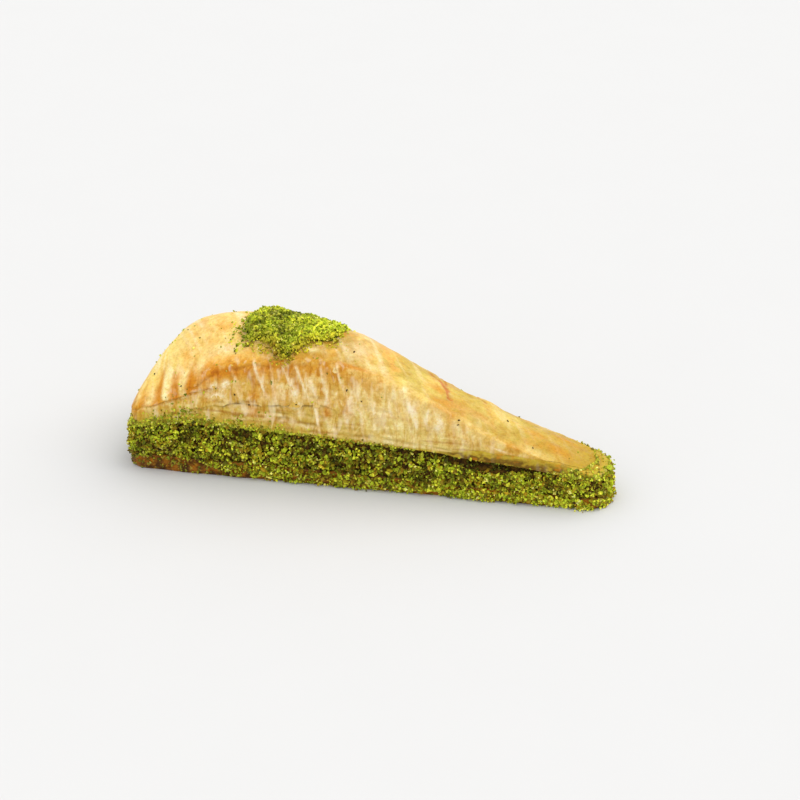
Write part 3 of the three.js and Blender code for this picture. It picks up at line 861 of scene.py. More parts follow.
class Shader:
    """A node material with one Principled shader."""

    def __init__(self, name, **settings):
        self.material = bpy.data.materials.new(name)
        self.material.use_nodes = True
        self.nodes = self.material.node_tree.nodes
        self.links = self.material.node_tree.links
        self.shader = self.nodes["Principled BSDF"]
        for socket, value in settings.items():
            self.shader.inputs[socket.replace("_", " ")].default_value = value
        self.coordinates = self.nodes.new("ShaderNodeTexCoord").outputs["Object"]

    def join(self, output, socket):
        self.links.new(output, socket)

    def put(self, value, socket):
        """Links an output, or sets a plain value."""
        if isinstance(value, bpy.types.NodeSocket):
            self.links.new(value, socket)
        else:
            socket.default_value = value

    def tint(self):
        """The painted colour and its mask."""
        node = self.nodes.new("ShaderNodeAttribute")
        node.attribute_name = "tint"
        return node.outputs["Color"], node.outputs["Alpha"]

    def stretched(self, scale):
        node = self.nodes.new("ShaderNodeMapping")
        node.inputs["Scale"].default_value = scale
        self.join(self.coordinates, node.inputs["Vector"])
        return node.outputs["Vector"]

    def noise(self, scale, detail=3.0, roughness=0.55, vector=None, distortion=0.0):
        node = self.nodes.new("ShaderNodeTexNoise")
        node.inputs["Scale"].default_value = scale
        node.inputs["Detail"].default_value = detail
        node.inputs["Roughness"].default_value = roughness
        node.inputs["Distortion"].default_value = distortion
        self.join(vector or self.coordinates, node.inputs["Vector"])
        return node.outputs["Fac"]

    def fit(self, value, low, high, out_low=0.0, out_high=1.0):
        node = self.nodes.new("ShaderNodeMapRange")
        node.interpolation_type = "SMOOTHSTEP"
        self.put(value, node.inputs["Value"])
        limits = {"From Min": low, "From Max": high, "To Min": out_low, "To Max": out_high}
        for socket, number in limits.items():
            node.inputs[socket].default_value = number
        return node.outputs["Result"]

    def math(self, operation, a, b=0.0):
        node = self.nodes.new("ShaderNodeMath")
        node.operation = operation
        self.put(a, node.inputs[0])
        self.put(b, node.inputs[1])
        return node.outputs["Value"]

    def mix(self, share, a, b, blend="MIX"):
        node = self.nodes.new("ShaderNodeMix")
        node.data_type = "RGBA"
        node.blend_type = blend
        node.clamp_result = True
        self.put(share, node.inputs["Factor"])
        self.put(a, node.inputs["A"])
        self.put(b, node.inputs["B"])
        return node.outputs["Result"]

    def shaded(self, share, tone, pattern, dark, light):
        """A tone multiplied by a pattern of two faint colours."""
        return self.mix(share, tone, self.mix(pattern, opaque(dark), opaque(light)), "MULTIPLY")

    def colour(self, output):
        self.join(output, self.shader.inputs["Base Color"])

    def bump(self, height, distance, strength=1.0):
        node = self.nodes.new("ShaderNodeBump")
        node.inputs["Distance"].default_value = distance
        node.inputs["Strength"].default_value = strength
        self.join(height, node.inputs["Height"])
        self.join(node.outputs["Normal"], self.shader.inputs["Normal"])


def opaque(colour):
    return (*colour, 1.0)


def panel_colour(name):
    """One of the panel's colours, as light."""
    return linear(tuple(getattr(bpy.context.scene.baklava_colours, name)))


def sizes():
    return bpy.context.scene.baklava_sizes


SYRUP = dict(Coat_Roughness=0.12, IOR=1.4, Specular_IOR_Level=0.2, Subsurface_Scale=0.0008)


def leaf_material(name, roughness, coat):
    """Syrup-glazed leaf: painted tones under fine mottling, pleat fibres, glints and blisters."""
    glaze = Shader(
        name, Roughness=roughness, Coat_Weight=coat,
        Subsurface_Weight=0.15, Subsurface_Radius=(1.0, 0.5, 0.12), **SYRUP,
    )
    tint, pleats = glaze.tint()
    fine = glaze.noise(1350, 3, 0.6)
    mottle = glaze.noise(400, 3, 0.65)
    fibres = glaze.noise(1.0, 3, 0.6, glaze.stretched((600, 600, 120)), 0.8)
    spots = glaze.noise(1.0, 2, 0.5, glaze.stretched((420, 420, 130)))
    level = glaze.noise(1.0, 3, 0.65, glaze.stretched((150, 150, 1100)), 1.2)
    faint_pleats = glaze.math("MULTIPLY", pleats, 0.35)
    tone = tint
    for share, pattern, low, high, dark, light in (
        (0.8, mottle, 0.33, 0.67, (0.88, 0.78, 0.52), (1.1, 1.09, 1.08)),
        (0.8, fine, 0.3, 0.7, (0.84, 0.79, 0.66), (1.14, 1.14, 1.14)),
        (pleats, fibres, 0.36, 0.62, (0.8, 0.66, 0.36), (1.2, 1.24, 1.4)),
        (faint_pleats, level, 0.36, 0.6, (0.8, 0.72, 0.52), (1.08, 1.1, 1.16)),
    ):
        tone = glaze.shaded(share, tone, glaze.fit(pattern, low, high), dark, light)
    glints = glaze.math("MULTIPLY", glaze.fit(spots, 0.54, 0.7), pleats)
    glaze.colour(glaze.mix(glaze.math("MULTIPLY", glints, 0.4), tone, (1.0, 0.88, 0.62, 1)))
    shine = glaze.fit(mottle, 0.35, 0.65, roughness - 0.03, roughness + 0.16)
    glaze.join(shine, glaze.shader.inputs["Roughness"])
    height = glaze.math("MULTIPLY", fibres, 0.9)
    for pattern, weight in ((mottle, 0.7), (level, 0.25), (fine, 0.35)):
        height = glaze.math("ADD", height, glaze.math("MULTIPLY", pattern, weight))
    glaze.bump(height, 0.0004, 0.8)
    return glaze.material


def soaked_material():
    """Dark pressed leaves, wet with syrup."""
    wet = Shader(
        "soaked_pastry", Roughness=0.38, Coat_Weight=0.04,
        Subsurface_Weight=0.1, Subsurface_Radius=(1.0, 0.35, 0.08), **SYRUP,
    )
    broad = wet.noise(260, 4, 0.65)
    crumbs = wet.noise(700, 3, 0.6)
    layers = wet.noise(1.0, 3, 0.6, wet.stretched((60, 60, 1600)))
    brown = panel_colour("soaked_brown")
    tone = wet.mix(wet.fit(broad, 0.38, 0.62), opaque(0.22 * brown), opaque(brown))
    glow = wet.math("MULTIPLY", wet.fit(broad, 0.52, 0.75), wet.fit(layers, 0.4, 0.65))
    for share, name in ((glow, "amber"), (wet.fit(crumbs, 0.56, 0.66), "leaf_foot")):
        tone = wet.mix(wet.math("MULTIPLY", share, 0.6), tone, opaque(panel_colour(name)))
    wet.colour(tone)
    wet.bump(wet.math("ADD", broad, wet.math("ADD", layers, crumbs)), 0.0004, 0.9)
    return wet.material


def granule_material():
    """Ground pistachio: each bit has its own colour, with painted light and shade in it, and finer
    mottling over it.
    """
    nut = Shader(
        "pistachio_bits", Roughness=0.5, IOR=1.4, Specular_IOR_Level=0.22,
        Subsurface_Weight=0.08, Subsurface_Radius=(0.7, 1.0, 0.2), Subsurface_Scale=0.0005,
    )
    mottle = nut.noise(1700, 2, 0.6)
    pattern = nut.fit(mottle, 0.3, 0.7)
    nut.colour(nut.shaded(1.0, nut.tint()[0], pattern, (0.6, 0.58, 0.42), (1.3, 1.28, 1.1)))
    nut.bump(mottle, 0.0002, 0.8)
    return nut.material


def packed_material(name, dark, light):
    """Packed pistachio seen between the granules."""
    mass = Shader(name, Roughness=0.75, Specular_IOR_Level=0.1)
    spots = mass.noise(850, 3, 0.6)
    pattern = mass.fit(spots, 0.35, 0.65)
    mass.colour(mass.mix(pattern, opaque(linear(dark)), opaque(linear(light))))
    mass.bump(spots, 0.0004, 1.0)
    return mass.material


def shared_granule_material():
    return bpy.data.materials.get("pistachio_bits") or granule_material()


# ------------------------------------------------------------------ base and filling


def base_outward(stations, share):
    waves = sum(height * np.sin(stations.distance / length) for height, length in BASE_WAVES)
    return knots_at(BASE_ROWS, share) + waves


class BAKLAVA_OT_base(bpy.types.Operator):
    """Models the pressed, syrup-soaked base"""

    bl_idname = "baklava.base"
    bl_label = "Soaked base"

    def execute(self, context):
        stations = even_stations(CORE_STEP)
        columns = [stations.middle(0.0)]
        for share in np.linspace(0, 1, CORE_ROWS):
            z = share * base_top(stations.x)
            outward = base_outward(stations, share)
            place = stations.point_out(outward, z)
            leaf = 0.2 * lattice_noise(place, (9, 9, 0.75), 21)
            crumb = 0.22 * rough(place, 1.8, 22)
            edge = np.sin(np.pi * share) ** 0.5
            columns.append(stations.point_out(outward + edge * (leaf + crumb), z))
        columns.append(stations.middle(base_top(stations.middle_x)))
        piece = shaped_grid("soaked_base", np.stack(columns, axis=1))
        settle(piece, "brown_pastry", soaked_material(), "pastry_base")
        return {"FINISHED"}


# How low the granules lie, how far some climb the leaves, and how far their upper edge drops under
# the leaves: x, distance in mm.
GRANULE_FLOOR = (
    (-80, 4.0), (-74, 5.0), (-64, 5.8), (-52, 5.0), (-44, 2.4), (-36, 1.4), (-30, 0.6), (-24, 0.3),
    (-14, 0.3), (-8, 0.4), (-2, 0.2), (14, 0.3), (80, 0.2),
)
GRANULE_RISE = (
    (-80, 0.2), (-72, 0.5), (-62, 1.4), (-54, 1.7), (-47, 1.0), (-40, 0.6), (-30, 0.8), (-18, 0.2),
    (20, 0.1), (24, 0.0), (66, 0.0), (72, 0.5), (80, 1.4),
)
GROOVE_DEPTH = (
    (-80, 0.8), (-66, 0.4), (-54, 0.0), (-42, 0.2), (-28, 0.2), (-14, 0.4), (0, 0.45), (18, 0.5),
    (28, 2.0), (35, 3.6), (41, 4.3), (47, 3.6), (53, 2.6), (60, 1.7), (70, 0.8), (76, 0.0), (80, 0.0),
)


class BAKLAVA_OT_filling(bpy.types.Operator):
    """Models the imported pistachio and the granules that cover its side"""

    bl_idname = "baklava.filling"
    bl_label = "Pistachio filling"

    def execute(self, context):
        self.core()
        random = np.random.default_rng(41)
        count = sizes().filling_granules
        places = Stations(random.uniform(0, 2 * HALF_PERIMETER, count))
        spot = stacked(places.x, places.y, 0.0)
        foot, brim = base_top(places.x), filling_top(places.x)
        hollow = knots_at(GROOVE_DEPTH, places.x)
        floor = knots_at(GRANULE_FLOOR, places.x) + 1.3 * rough(spot, 5.0, 42)
        deep = random.uniform(size=count) < 0.3
        groove = np.where(deep, 0.3, hollow * (1 + 0.45 * lattice_noise(spot, 2.5, 46)))
        raised = knots_at(GRANULE_RISE, places.x) * random.exponential(0.6, count)
        top = brim + 0.9 * rough(spot, 3.0, 43) - groove + np.minimum(raised, 3)
        radii = sizes().granule_radius / MM * random.lognormal(-0.08, 0.38, count)
        radii = np.clip(radii, 0.2, np.where(deep, 0.42, 0.9))
        z = lerp(np.maximum(floor, 0.5), top, random.beta(0.95, 0.95, count))
        share = np.clip((z - foot) / (brim - foot), 0, 1)
        on_base, on_leaves = z < foot, z > brim
        outward = np.where(on_base, base_outward(places, 0.5) + 0.2, knots_at(FILLING_ROWS, share))
        outward = np.where(on_leaves, 0.2 - lean_in(places.x, z), outward)
        outward += smoothstep(share, 0.6, 0.95) * (z < brim) * falling(places.x, -56, -40)
        lumps = 1.25 * rough(places.point_out(outward, z), 2.7, 44)
        depth = random.uniform(-0.55, 0.3, count) + 1.15 * lumps - 0.2 * radii
        depth = np.where(on_base, np.maximum(depth, random.uniform(-0.25, 0.25, count)), depth)
        depth = np.where(on_leaves, random.uniform(-0.2, 0.25, count), depth)
        sunk = deep * smoothstep(z - brim + hollow, -0.4, 0.8) * np.minimum(hollow, 2.5)
        depth -= 0.4 * sunk
        centres = places.point_out(outward + depth, z)
        depth -= 0.4 * sunk  # once more, for a darker colour: painted shade on the bits sunk in the groove
        tints = self.tints(centres, depth, random)
        crust = granules("filling_granules", centres, radii, tints, random)
        settle(crust, "ground_pistachio", shared_granule_material(), "pistachio_filling")

        count = sizes().fine_granules
        picked = random.integers(0, len(centres), count)
        jitter = random.normal(size=(count, 3)) * 0.5
        centres = centres[picked] + jitter + places.step_out(0.15)[picked]
        centres[:, 2] = np.maximum(centres[:, 2], 0.3)
        radii = np.clip(random.lognormal(-1.2, 0.3, count), 0.14, 0.45)
        tints = self.tints(centres, depth[picked], random)
        fines = granules("filling_fines", centres, radii, tints, random, True)
        settle(fines, "ground_pistachio", shared_granule_material(), "pistachio_filling")
        return {"FINISHED"}

    def tints(self, centres, depth, random):
        """Colours of bits: painted light and shade, lighter on the lumps and darker the deeper they lie;
        lighter at the tip, in drifts of light and dark.
        """
        x, z = centres[:, 0], centres[:, 2]
        # Painted light and shade: bits on the lumps lighter, deeper bits darker.
        shade = 1.35 + 0.4 * rough(centres, 7.0, 45, 2) + 1.15 * depth + 0.45 * smoothstep(x, 24, 60)
        low = falling(x, -79, -64) * falling(z, 7, 13)
        high = falling(x, -80, -72) * smoothstep(z, 9, 13)
        shade = np.clip(shade * (1 - 0.4 * low + 0.5 * high), 0.25, 2.2)
        return np.clip(bit_tints(FILLING_MIX, random, len(centres)) * shade[:, None], 0, 1)

    def core(self):
        stations = even_stations(CORE_STEP)
        low = base_top(stations.x) + GAP
        columns = [stations.middle(base_top(stations.middle_x) + GAP)]
        groove = np.clip(knots_at(GROOVE_DEPTH, stations.x) - 1, 0, 1.2)
        for share in np.linspace(0, 1, CORE_ROWS):
            z = lerp(low, filling_top(stations.x), share)
            outward = knots_at(FILLING_ROWS, share) - 0.55
            outward = outward - 0.8 * groove * smoothstep(share, 0.55, 0.85)
            place = stations.point_out(outward, z)
            bumps = 0.45 * lattice_noise(place, 2.1, 31) + 0.35 * lattice_noise(place, 1.1, 32)
            columns.append(stations.point_out(outward + bumps, z))
        columns.append(stations.middle(filling_top(stations.middle_x)))
        core = shaped_grid("pistachio_layer", np.stack(columns, axis=1))
        mass = packed_material("packed_pistachio", (44, 26, 4), (92, 66, 14))
        settle(core, "ground_pistachio", mass, "pistachio_filling")


# ------------------------------------------------------------------ colours of the roof

# Tones up the side and over the top: height, colour.
TONES = (
    (0.0, "leaf_foot"), (0.1, "leaf_low"), (0.35, "leaf_low"), (0.5, "leaf_mid"), (0.72, "leaf_mid"),
    (0.88, "leaf_high"), (1.04, "leaf_high"), (1.16, "blush"), (1.34, "top_skin"), (2.0, "top_skin"),
)

# How high the pistachio stains the foot of the leaves, and how high its dust reaches: x, reach in mm.
STAIN_REACH = (
    (-80, 4.6), (-62, 5.4), (-50, 4.0), (-44, 2.0), (-38, 2.6), (-26, 2.4), (-18, 1.0),
    (20, 0.6), (34, 1.2), (58, 1.8), (70, 3.0), (76, 5.0), (80, 7.0),
)
DUST_REACH = (
    (-80, 0.9), (-70, 1.1), (-60, 1.8), (-54, 1.8), (-44, 1.0), (-38, 1.8), (-26, 1.4), (-18, 0.5),
    (16, 0.3), (22, 0.12), (60, 0.12), (67, 0.8), (74, 2.2), (80, 3.6),
)

# Thin edges of single leaves on both sides, each a dark line with a painted highlight under it: height,
# start and end in X, seed.
LEAF_LINES = (
    (0.42, -50, -18, 111), (0.3, -58, -6, 112), (0.2, -46, 18, 113), (0.1, -30, 34, 114),
    (0.54, -24, 14, 115),
)

# Patches of the near side: x, height, half length in mm, half height, colour, strength. The leaf_glint
# patches are painted highlights, some on torn leaf, and the leaf_pale ones round the rim end's folds are
# painted highlights too.
PATCHES = (
    (-45.5, 0.95, 4.2, 0.055, "amber", 0.9), (-60.6, 0.98, 1.5, 0.13, "amber", 0.9),
    (-56.0, 1.12, 1.0, 0.14, "amber", 0.7), (-51.0, 0.7, 3.2, 0.05, "amber", 0.55),
    (-33.7, 0.27, 2.0, 0.05, "amber", 0.5), (-9.9, 0.35, 1.5, 0.07, "amber", 0.75),
    (-76.0, 0.6, 3.5, 0.25, "amber", 0.6), (-67.5, 1.2, 1.5, 0.2, "amber", 0.5),
    (22.5, 1.8, 3.0, 0.12, "amber", 0.65), (26.8, 1.35, 4.5, 0.14, "amber", 0.7),
    (38.2, 1.5, 5.0, 0.14, "amber", 0.55), (54.6, 1.95, 3.5, 0.12, "amber", 0.5),
    (64.0, 1.6, 5.0, 0.22, "amber", 0.6), (-2.0, 1.13, 5.0, 0.05, "amber", 0.8),
    (17.4, 0.7, 1.2, 0.1, "leaf_glint", 0.8), (14.9, 0.92, 1.2, 0.1, "leaf_pale", 0.8),
    (25.8, 0.55, 1.0, 0.1, "leaf_glint", 0.8), (33.8, 0.6, 1.6, 0.1, "leaf_pale", 0.6),
    (13.0, 1.3, 1.6, 0.16, "pale_gold", 0.5), (46.0, 0.62, 4.0, 0.05, "leaf_glint", 0.6),
    (-28.0, 0.6, 4.0, 0.12, "amber", 0.25),
    (-47.4, 0.75, 1.0, 0.06, "leaf_glint", 1.6), (-43.4, 0.73, 1.2, 0.06, "leaf_glint", 1.8),
    (-47.0, 0.55, 1.8, 0.05, "leaf_glint", 1.5), (-63.4, 1.08, 1.3, 0.14, "leaf_pale", 0.8),
    (-69.5, 1.05, 1.6, 0.09, "leaf_pale", 0.7), (-57.6, 1.1, 0.8, 0.16, "leaf_pale", 0.7),
    (-52.2, 1.2, 1.3, 0.12, "leaf_pale", 0.6), (-21.0, 0.6, 1.4, 0.09, "leaf_glint", 0.8),
    (-15.5, 0.66, 1.2, 0.08, "leaf_glint", 0.7), (-43.0, 1.24, 3.0, 0.06, "leaf_pale", 0.5),
    (-18.0, 1.34, 3.5, 0.05, "leaf_pale", 0.5), (38.0, 1.45, 9.0, 0.2, "leaf_pale", 0.2),
    (14.5, 1.3, 2.0, 0.1, "leaf_pale", 0.25), (26.6, 0.7, 1.0, 0.1, "leaf_glint", 0.7),
    (-46.1, 1.31, 3.2, 0.07, "leaf_glint", 0.65), (-17.8, 1.34, 1.6, 0.06, "leaf_glint", 0.4),
    (-15.8, 1.46, 1.2, 0.07, "leaf_glint", 0.4), (-3.5, 1.65, 5.0, 0.3, "leaf_glint", 0.4),
    (-45.0, 0.98, 2.6, 0.05, "valley", 0.6), (-26.5, 1.02, 3.0, 0.06, "amber", 0.6),
    (-20.0, 0.42, 1.6, 0.05, "leaf_glint", 0.9), (-25.0, 0.58, 1.4, 0.09, "leaf_glint", 0.6),
    (-18.6, 0.3, 1.6, 0.05, "leaf_glint", 0.7), (-34.5, 0.32, 1.8, 0.07, "amber", 0.5),
    (3.0, 1.3, 3.0, 0.12, "leaf_pale", 0.5), (56.0, 1.2, 4.0, 0.2, "leaf_pale", 0.3),
    (-52.0, 0.72, 1.2, 0.07, "leaf_glint", 0.6), (-49.5, 0.6, 1.0, 0.06, "leaf_glint", 0.6),
    (-36.0, 0.3, 2.0, 0.05, "leaf_glint", 0.5), (-29.0, 0.22, 1.2, 0.06, "leaf_glint", 0.6),
    (-21.0, 0.18, 1.0, 0.08, "leaf_glint", 0.6), (-17.5, 0.55, 0.9, 0.07, "leaf_glint", 0.6),
    (-10.5, 0.5, 1.1, 0.06, "leaf_glint", 0.6), (-3.5, 0.3, 0.9, 0.08, "leaf_glint", 0.6),
    (5.5, 0.3, 0.8, 0.08, "leaf_glint", 0.6), (12.5, 0.35, 0.9, 0.07, "leaf_glint", 0.5),
    (-50.5, 1.06, 1.3, 0.1, "amber", 0.8), (-53.5, 1.0, 0.9, 0.12, "amber", 0.7),
    (-48.0, 1.02, 1.6, 0.07, "amber", 0.8), (27.0, 1.05, 4.5, 0.14, "amber", 0.5),
)
TINT_NAMES = (
    "top_skin", "mid_gold", "slope_gold", "pale_gold", "blush", "amber", "valley", "crease",
    "russet", "leaf_pale", "leaf_glint", "leaf_high", "leaf_mid", "leaf_low", "leaf_foot",
    "tip_gold", "soaked_strip",
)


class RoofPaint:
    """Colours of the leaves, as light, laid one over another, with painted highlights and shade among
    them.
    """

    def __init__(self, columns, points, fields):
        self.columns, self.points, self.fields = columns, points, fields
        self.height, self.x = columns.height, columns.x
        self.top = smoothstep(self.height, 1.0, 1.25)
        self.wall = 1 - self.top
        self.look = {name: panel_colour(name) for name in TINT_NAMES}
        heights = [stop for stop, _ in TONES]
        place = self.height + 0.05 * rough(points, (6, 6, 4), 31)
        tones = np.array([self.look[name] for _, name in TONES]).T
        self.tint = np.stack([np.interp(place, heights, band) for band in tones], axis=-1)

    def lay(self, name, share):
        self.tint = lerp(self.tint, self.look[name], np.clip(share, 0, 1)[..., None])

    def cloud(self, size, seed, low, high, side=1):
        """Patches of noise from 0 to 1, on its high side or, with -1, on its low side."""
        return smoothstep(side * rough(self.points, size, seed), low, high)

    def broad_tones(self):
        """The skin's gold, its mottling, its long streaks of painted highlight, and painted light on the
        crest of the slope and on the rim end's top.
        """
        x, height, top, wall = self.x, self.height, self.top, self.wall
        y, z = self.points[..., 1], self.points[..., 2]
        right = smoothstep(x, 4, 26)
        calm = 1 - 0.7 * smoothstep(x, -4, 14)
        self.lay("mid_gold", 0.95 * top * smoothstep(x, -42, -28) * (1 - 0.5 * smoothstep(x, -8, 4)))
        self.lay("leaf_mid", 0.9 * smoothstep(height, 0.5, 0.85) * smoothstep(x, -8, 14))
        self.lay("slope_gold", 0.95 * smoothstep(height, 0.95, 1.3) * smoothstep(x, -6, 16))
        self.lay("leaf_pale", 0.35 * wall * smoothstep(x, -10, 10) * falling(x, 36, 50))
        warm = self.cloud(5, 33, 0.0, 0.4) * (1 - 0.6 * smoothstep(x, 0, 20))
        self.lay("blush", 0.75 * top * warm)
        self.lay("amber", 0.25 * calm * top * self.cloud(2.4, 34, 0.08, 0.45))
        self.lay("pale_gold", 0.5 * calm * top * self.cloud(3.4, 35, 0.08, 0.45))
        patches = rough(stacked(x - 0.5 * y, y, z), (11, 6, 5), 36)
        pale = smoothstep(height, 0.8, 1.1) * smoothstep(patches, -0.05, 0.35)
        self.lay("pale_gold", 0.4 * right * pale)
        self.lay("amber", 0.35 * right * top * smoothstep(-patches, 0.1, 0.45))
        # Painted light: a paler rim along the crest of the slope down to the tip.
        self.lay("pale_gold", 0.25 * right * smoothstep(height, 1.6, 1.9))
        # Painted light: the roof's top at the rim end made paler.
        self.lay("pale_gold", 0.5 * top * falling(x, -70, -56))
        # Painted highlights: long pale streaks over the top, with amber between them.
        streaks = lattice_noise(stacked(x + 0.8 * y, 0.25 * y, 0.3 * z), (1.5, 2.5, 2.5), 51)
        glint = smoothstep(streaks, 0.3, 0.7) * (1 - 0.5 * smoothstep(x, 0, 20))
        self.lay("leaf_glint", 0.4 * top * glint)
        self.lay("amber", 0.25 * top * smoothstep(-streaks, 0.35, 0.7))
        baked = self.cloud((3.4, 3.4, 6), 37, 0.05, 0.5) * smoothstep(height, 0.1, 0.5)
        self.lay("amber", 0.6 * wall * baked)
        self.lay("leaf_pale", 0.55 * wall * self.cloud((1.8, 1.8, 3.4), 38, 0.05, 0.45))
        browned = self.cloud((1.1, 1.1, 2.2), 44, 0.1, 0.5, -1) * smoothstep(height, 0.1, 0.3)
        self.lay("crease", 0.25 * wall * browned)
        self.patches = patches

    def leaf_lines(self):
        """The stacked leaves low on the side: pale leaf edges with painted shade in the brown gaps, and
        single leaf edges with painted highlights.
        """
        columns, x, height = self.columns, self.x, self.height
        leaves = lattice_noise(self.points, (12, 12, 0.7), 39)
        low = falling(height, 0.25, 0.6)
        # Bands of the stacked leaves: pale leaf edges, and painted shade in the brown gaps between them.
        self.lay("crease", 0.5 * low * smoothstep(leaves, 0.3, 0.7))
        self.lay("leaf_pale", 0.65 * low * smoothstep(-leaves, 0.3, 0.7))
        for level, start, end, seed in LEAF_LINES:
            line = level + 0.035 * wobbly(columns, 6.0, seed) + 0.01 * wobbly(columns, 1.5, seed + 10)
            broken = np.clip(0.45 + 1.1 * wobbly(columns, 3.5, seed + 20), 0, 1)
            shown = within(x, start, end, 6) * broken
            self.lay("soaked_strip", 0.42 * shown * bell((height - line) / 0.02))
            # A painted highlight just under each single leaf edge.
            self.lay("leaf_glint", 0.45 * shown * bell((height - line + 0.045) / 0.024))
        self.lay("tip_gold", 0.8 * smoothstep(x, 52, 78) + 0.2 * smoothstep(x, 20, 50))

    def edges_and_folds(self):
        """The browned edges, partly painted shade in the fold under the top skin, the rim end's folds and
        the pleats' ridges with painted highlights, and the torn leaf between them.
        """
        columns, x, height = self.columns, self.x, self.height
        arc_at, arc_shown = arc(columns)
        uneven = 0.7 + 0.5 * rough(self.points, 4, 40)
        round_heap = within(x, -34, 6, 8)
        self.lay("mid_gold", 0.6 * round_heap * bell((height - 1.2) / 0.25))
        shoulder = bell((height - 1.15) / 0.15) * smoothstep(self.patches, -0.3, 0.3)
        self.lay("amber", 0.25 * round_heap * shoulder)
        # The band under the top skin's edge: partly baked colour, partly painted shade in the fold there.
        faded = arc_shown * (1 - 0.5 * smoothstep(x, -46, -22)) * (1 - 0.5 * smoothstep(x, -22, -6))
        self.lay("amber", 0.6 * faded * uneven * bell((height - arc_at + 0.08) / 0.09))
        line = bell((height - arc_at) / 0.03) * (1 - 0.8 * smoothstep(x, -34, -14))
        self.lay("crease", 0.7 * faded * uneven * line)
        folds, depth = self.fields["folds"], self.fields["fold_depth"]
        blotch = np.clip(0.7 + 1.3 * rough(self.points, (2.4, 2.4, 3.0), 47), 0.1, 1.2)
        self.lay("amber", depth * blotch * smoothstep(-folds, -0.4, 0.3))
        valley = smoothstep(-folds, 0.0, 0.7) * falling(height, 1.1, 1.35)
        self.lay("valley", 1.1 * depth * blotch * valley)
        # Painted highlights on the folds' pale ridges.
        self.lay("leaf_pale", depth * smoothstep(folds, 0.25, 0.95) * (1.35 - 0.5 * blotch))
        edge, edge_shown = leaf_edge(columns)
        self.lay("amber", 0.55 * edge_shown * bell((height - edge - 0.02) / 0.035))
        self.lay("crease", 0.85 * edge_shown * uneven * bell((height - edge + 0.008) / 0.016))
        under = falling(height - edge, -0.05, -0.01) * self.cloud((3, 3, 1.5), 41, 0, 0.5)
        self.lay("leaf_glint", 0.3 * edge_shown * under)
        # Painted highlights along the pleats' ridges.
        self.lay("leaf_glint", 0.95 * np.minimum(1.15 * self.fields["ridges"], 1))
        # Pale torn leaf, with painted highlights on its crumpled crests.
        torn = smoothstep(crumple(self.points, (2.2, 2.2, 3.2), 15), 0.6, 0.95)
        self.lay("leaf_glint", 0.75 * self.fields["torn"] * torn)

    def single_patches(self):
        """Lays each patch, and says how strongly the painted glint patches hold the material's fibres
        back.
        """
        painted_glints = np.zeros(self.height.shape)
        ragged = 1 + 0.5 * rough(self.points, 3, 42)
        for at, level, length, rise, name, strength in PATCHES:
            spread = bell((self.x - at) / length / ragged) * bell((self.height - level) / rise / ragged)
            spread = strength * spread * np.where(self.columns.far, 0.7, 1)
            self.lay(name, spread)
            if name == "leaf_glint":
                painted_glints = np.maximum(painted_glints, spread)
        return painted_glints

    def stains(self):
        """The pistachio's stain, the cracks and the wet strip near the tip, which it gives back."""
        columns, x, height = self.columns, self.x, self.height
        above_foot = (self.points[..., 2] - columns.bottom) / knots_at(STAIN_REACH, x)
        stain = falling(above_foot + 0.45 * rough(self.points, (3, 3, 2), 43), 0.1, 1.6)
        self.lay("leaf_foot", 0.95 * stain * falling(height, 1.1, 1.6))
        self.lay("russet", 0.75 * self.fields["cracks"])
        lower = tier(columns)
        strip = within(x, 24, 79, 8) * falling(height - lower, -0.06, -0.01)
        share = height / np.maximum(lower, 0.05) + 0.35 * rough(self.points, (5, 5, 1.6), 48)
        wet = lattice_noise(self.points, (2.2, 2.2, 1.0), 50)
        syrup = rough(self.points, (2.4, 2.4, 1.5), 52)
        for name, amount in (
            ("leaf_foot", 0.85),
            ("tip_gold", 0.7 * self.cloud((3, 3, 1.2), 49, 0.0, 0.4)),
            ("soaked_strip", 0.95 * falling(share, 0.25, 0.8)),
            ("soaked_strip", 0.5 * smoothstep(wet, 0.2, 0.6)),
            ("leaf_foot", 0.75 * smoothstep(syrup, 0.05, 0.35)),
            ("valley", 0.5 * smoothstep(-syrup, 0.1, 0.4)),
        ):
            self.lay(name, strip * amount)
        # A thin dark line along the leaves' foot over the middle of the slice.
        self.lay("crease", 0.6 * within(x, -12, 18, 4) * bell((height - 0.005) / 0.02))
        return strip

    def fibre_mask(self, painted_glints, strip):
        """How strongly the material's pleat fibres and glints show, kept off the painted glint patches.
        """
        x, fields = self.x, self.fields
        mask = 0.12 + 0.78 * lerp(self.wall, falling(self.height, 0.55, 1.35), smoothstep(x, -4, 16))
        mask = mask - 0.3 * smoothstep(fields["fold_depth"], 0.1, 0.6) - 0.45 * fields["ridges"]
        return mask * (1 - 0.3 * smoothstep(x, -6, 8)) * (1 - 0.8 * painted_glints) * (1 - 0.7 * strip)


def roof_tint(columns, points, fields):
    """The leaves' colours as light, and the strength of the fibres as a fourth number."""
    roof = RoofPaint(columns, points, fields)
    roof.broad_tones()
    roof.leaf_lines()
    roof.edges_and_folds()
    painted_glints = roof.single_patches()
    mask = roof.fibre_mask(painted_glints, roof.stains())
    return np.concatenate([roof.tint, np.clip(mask, 0.08, 1)[..., None]], axis=-1)


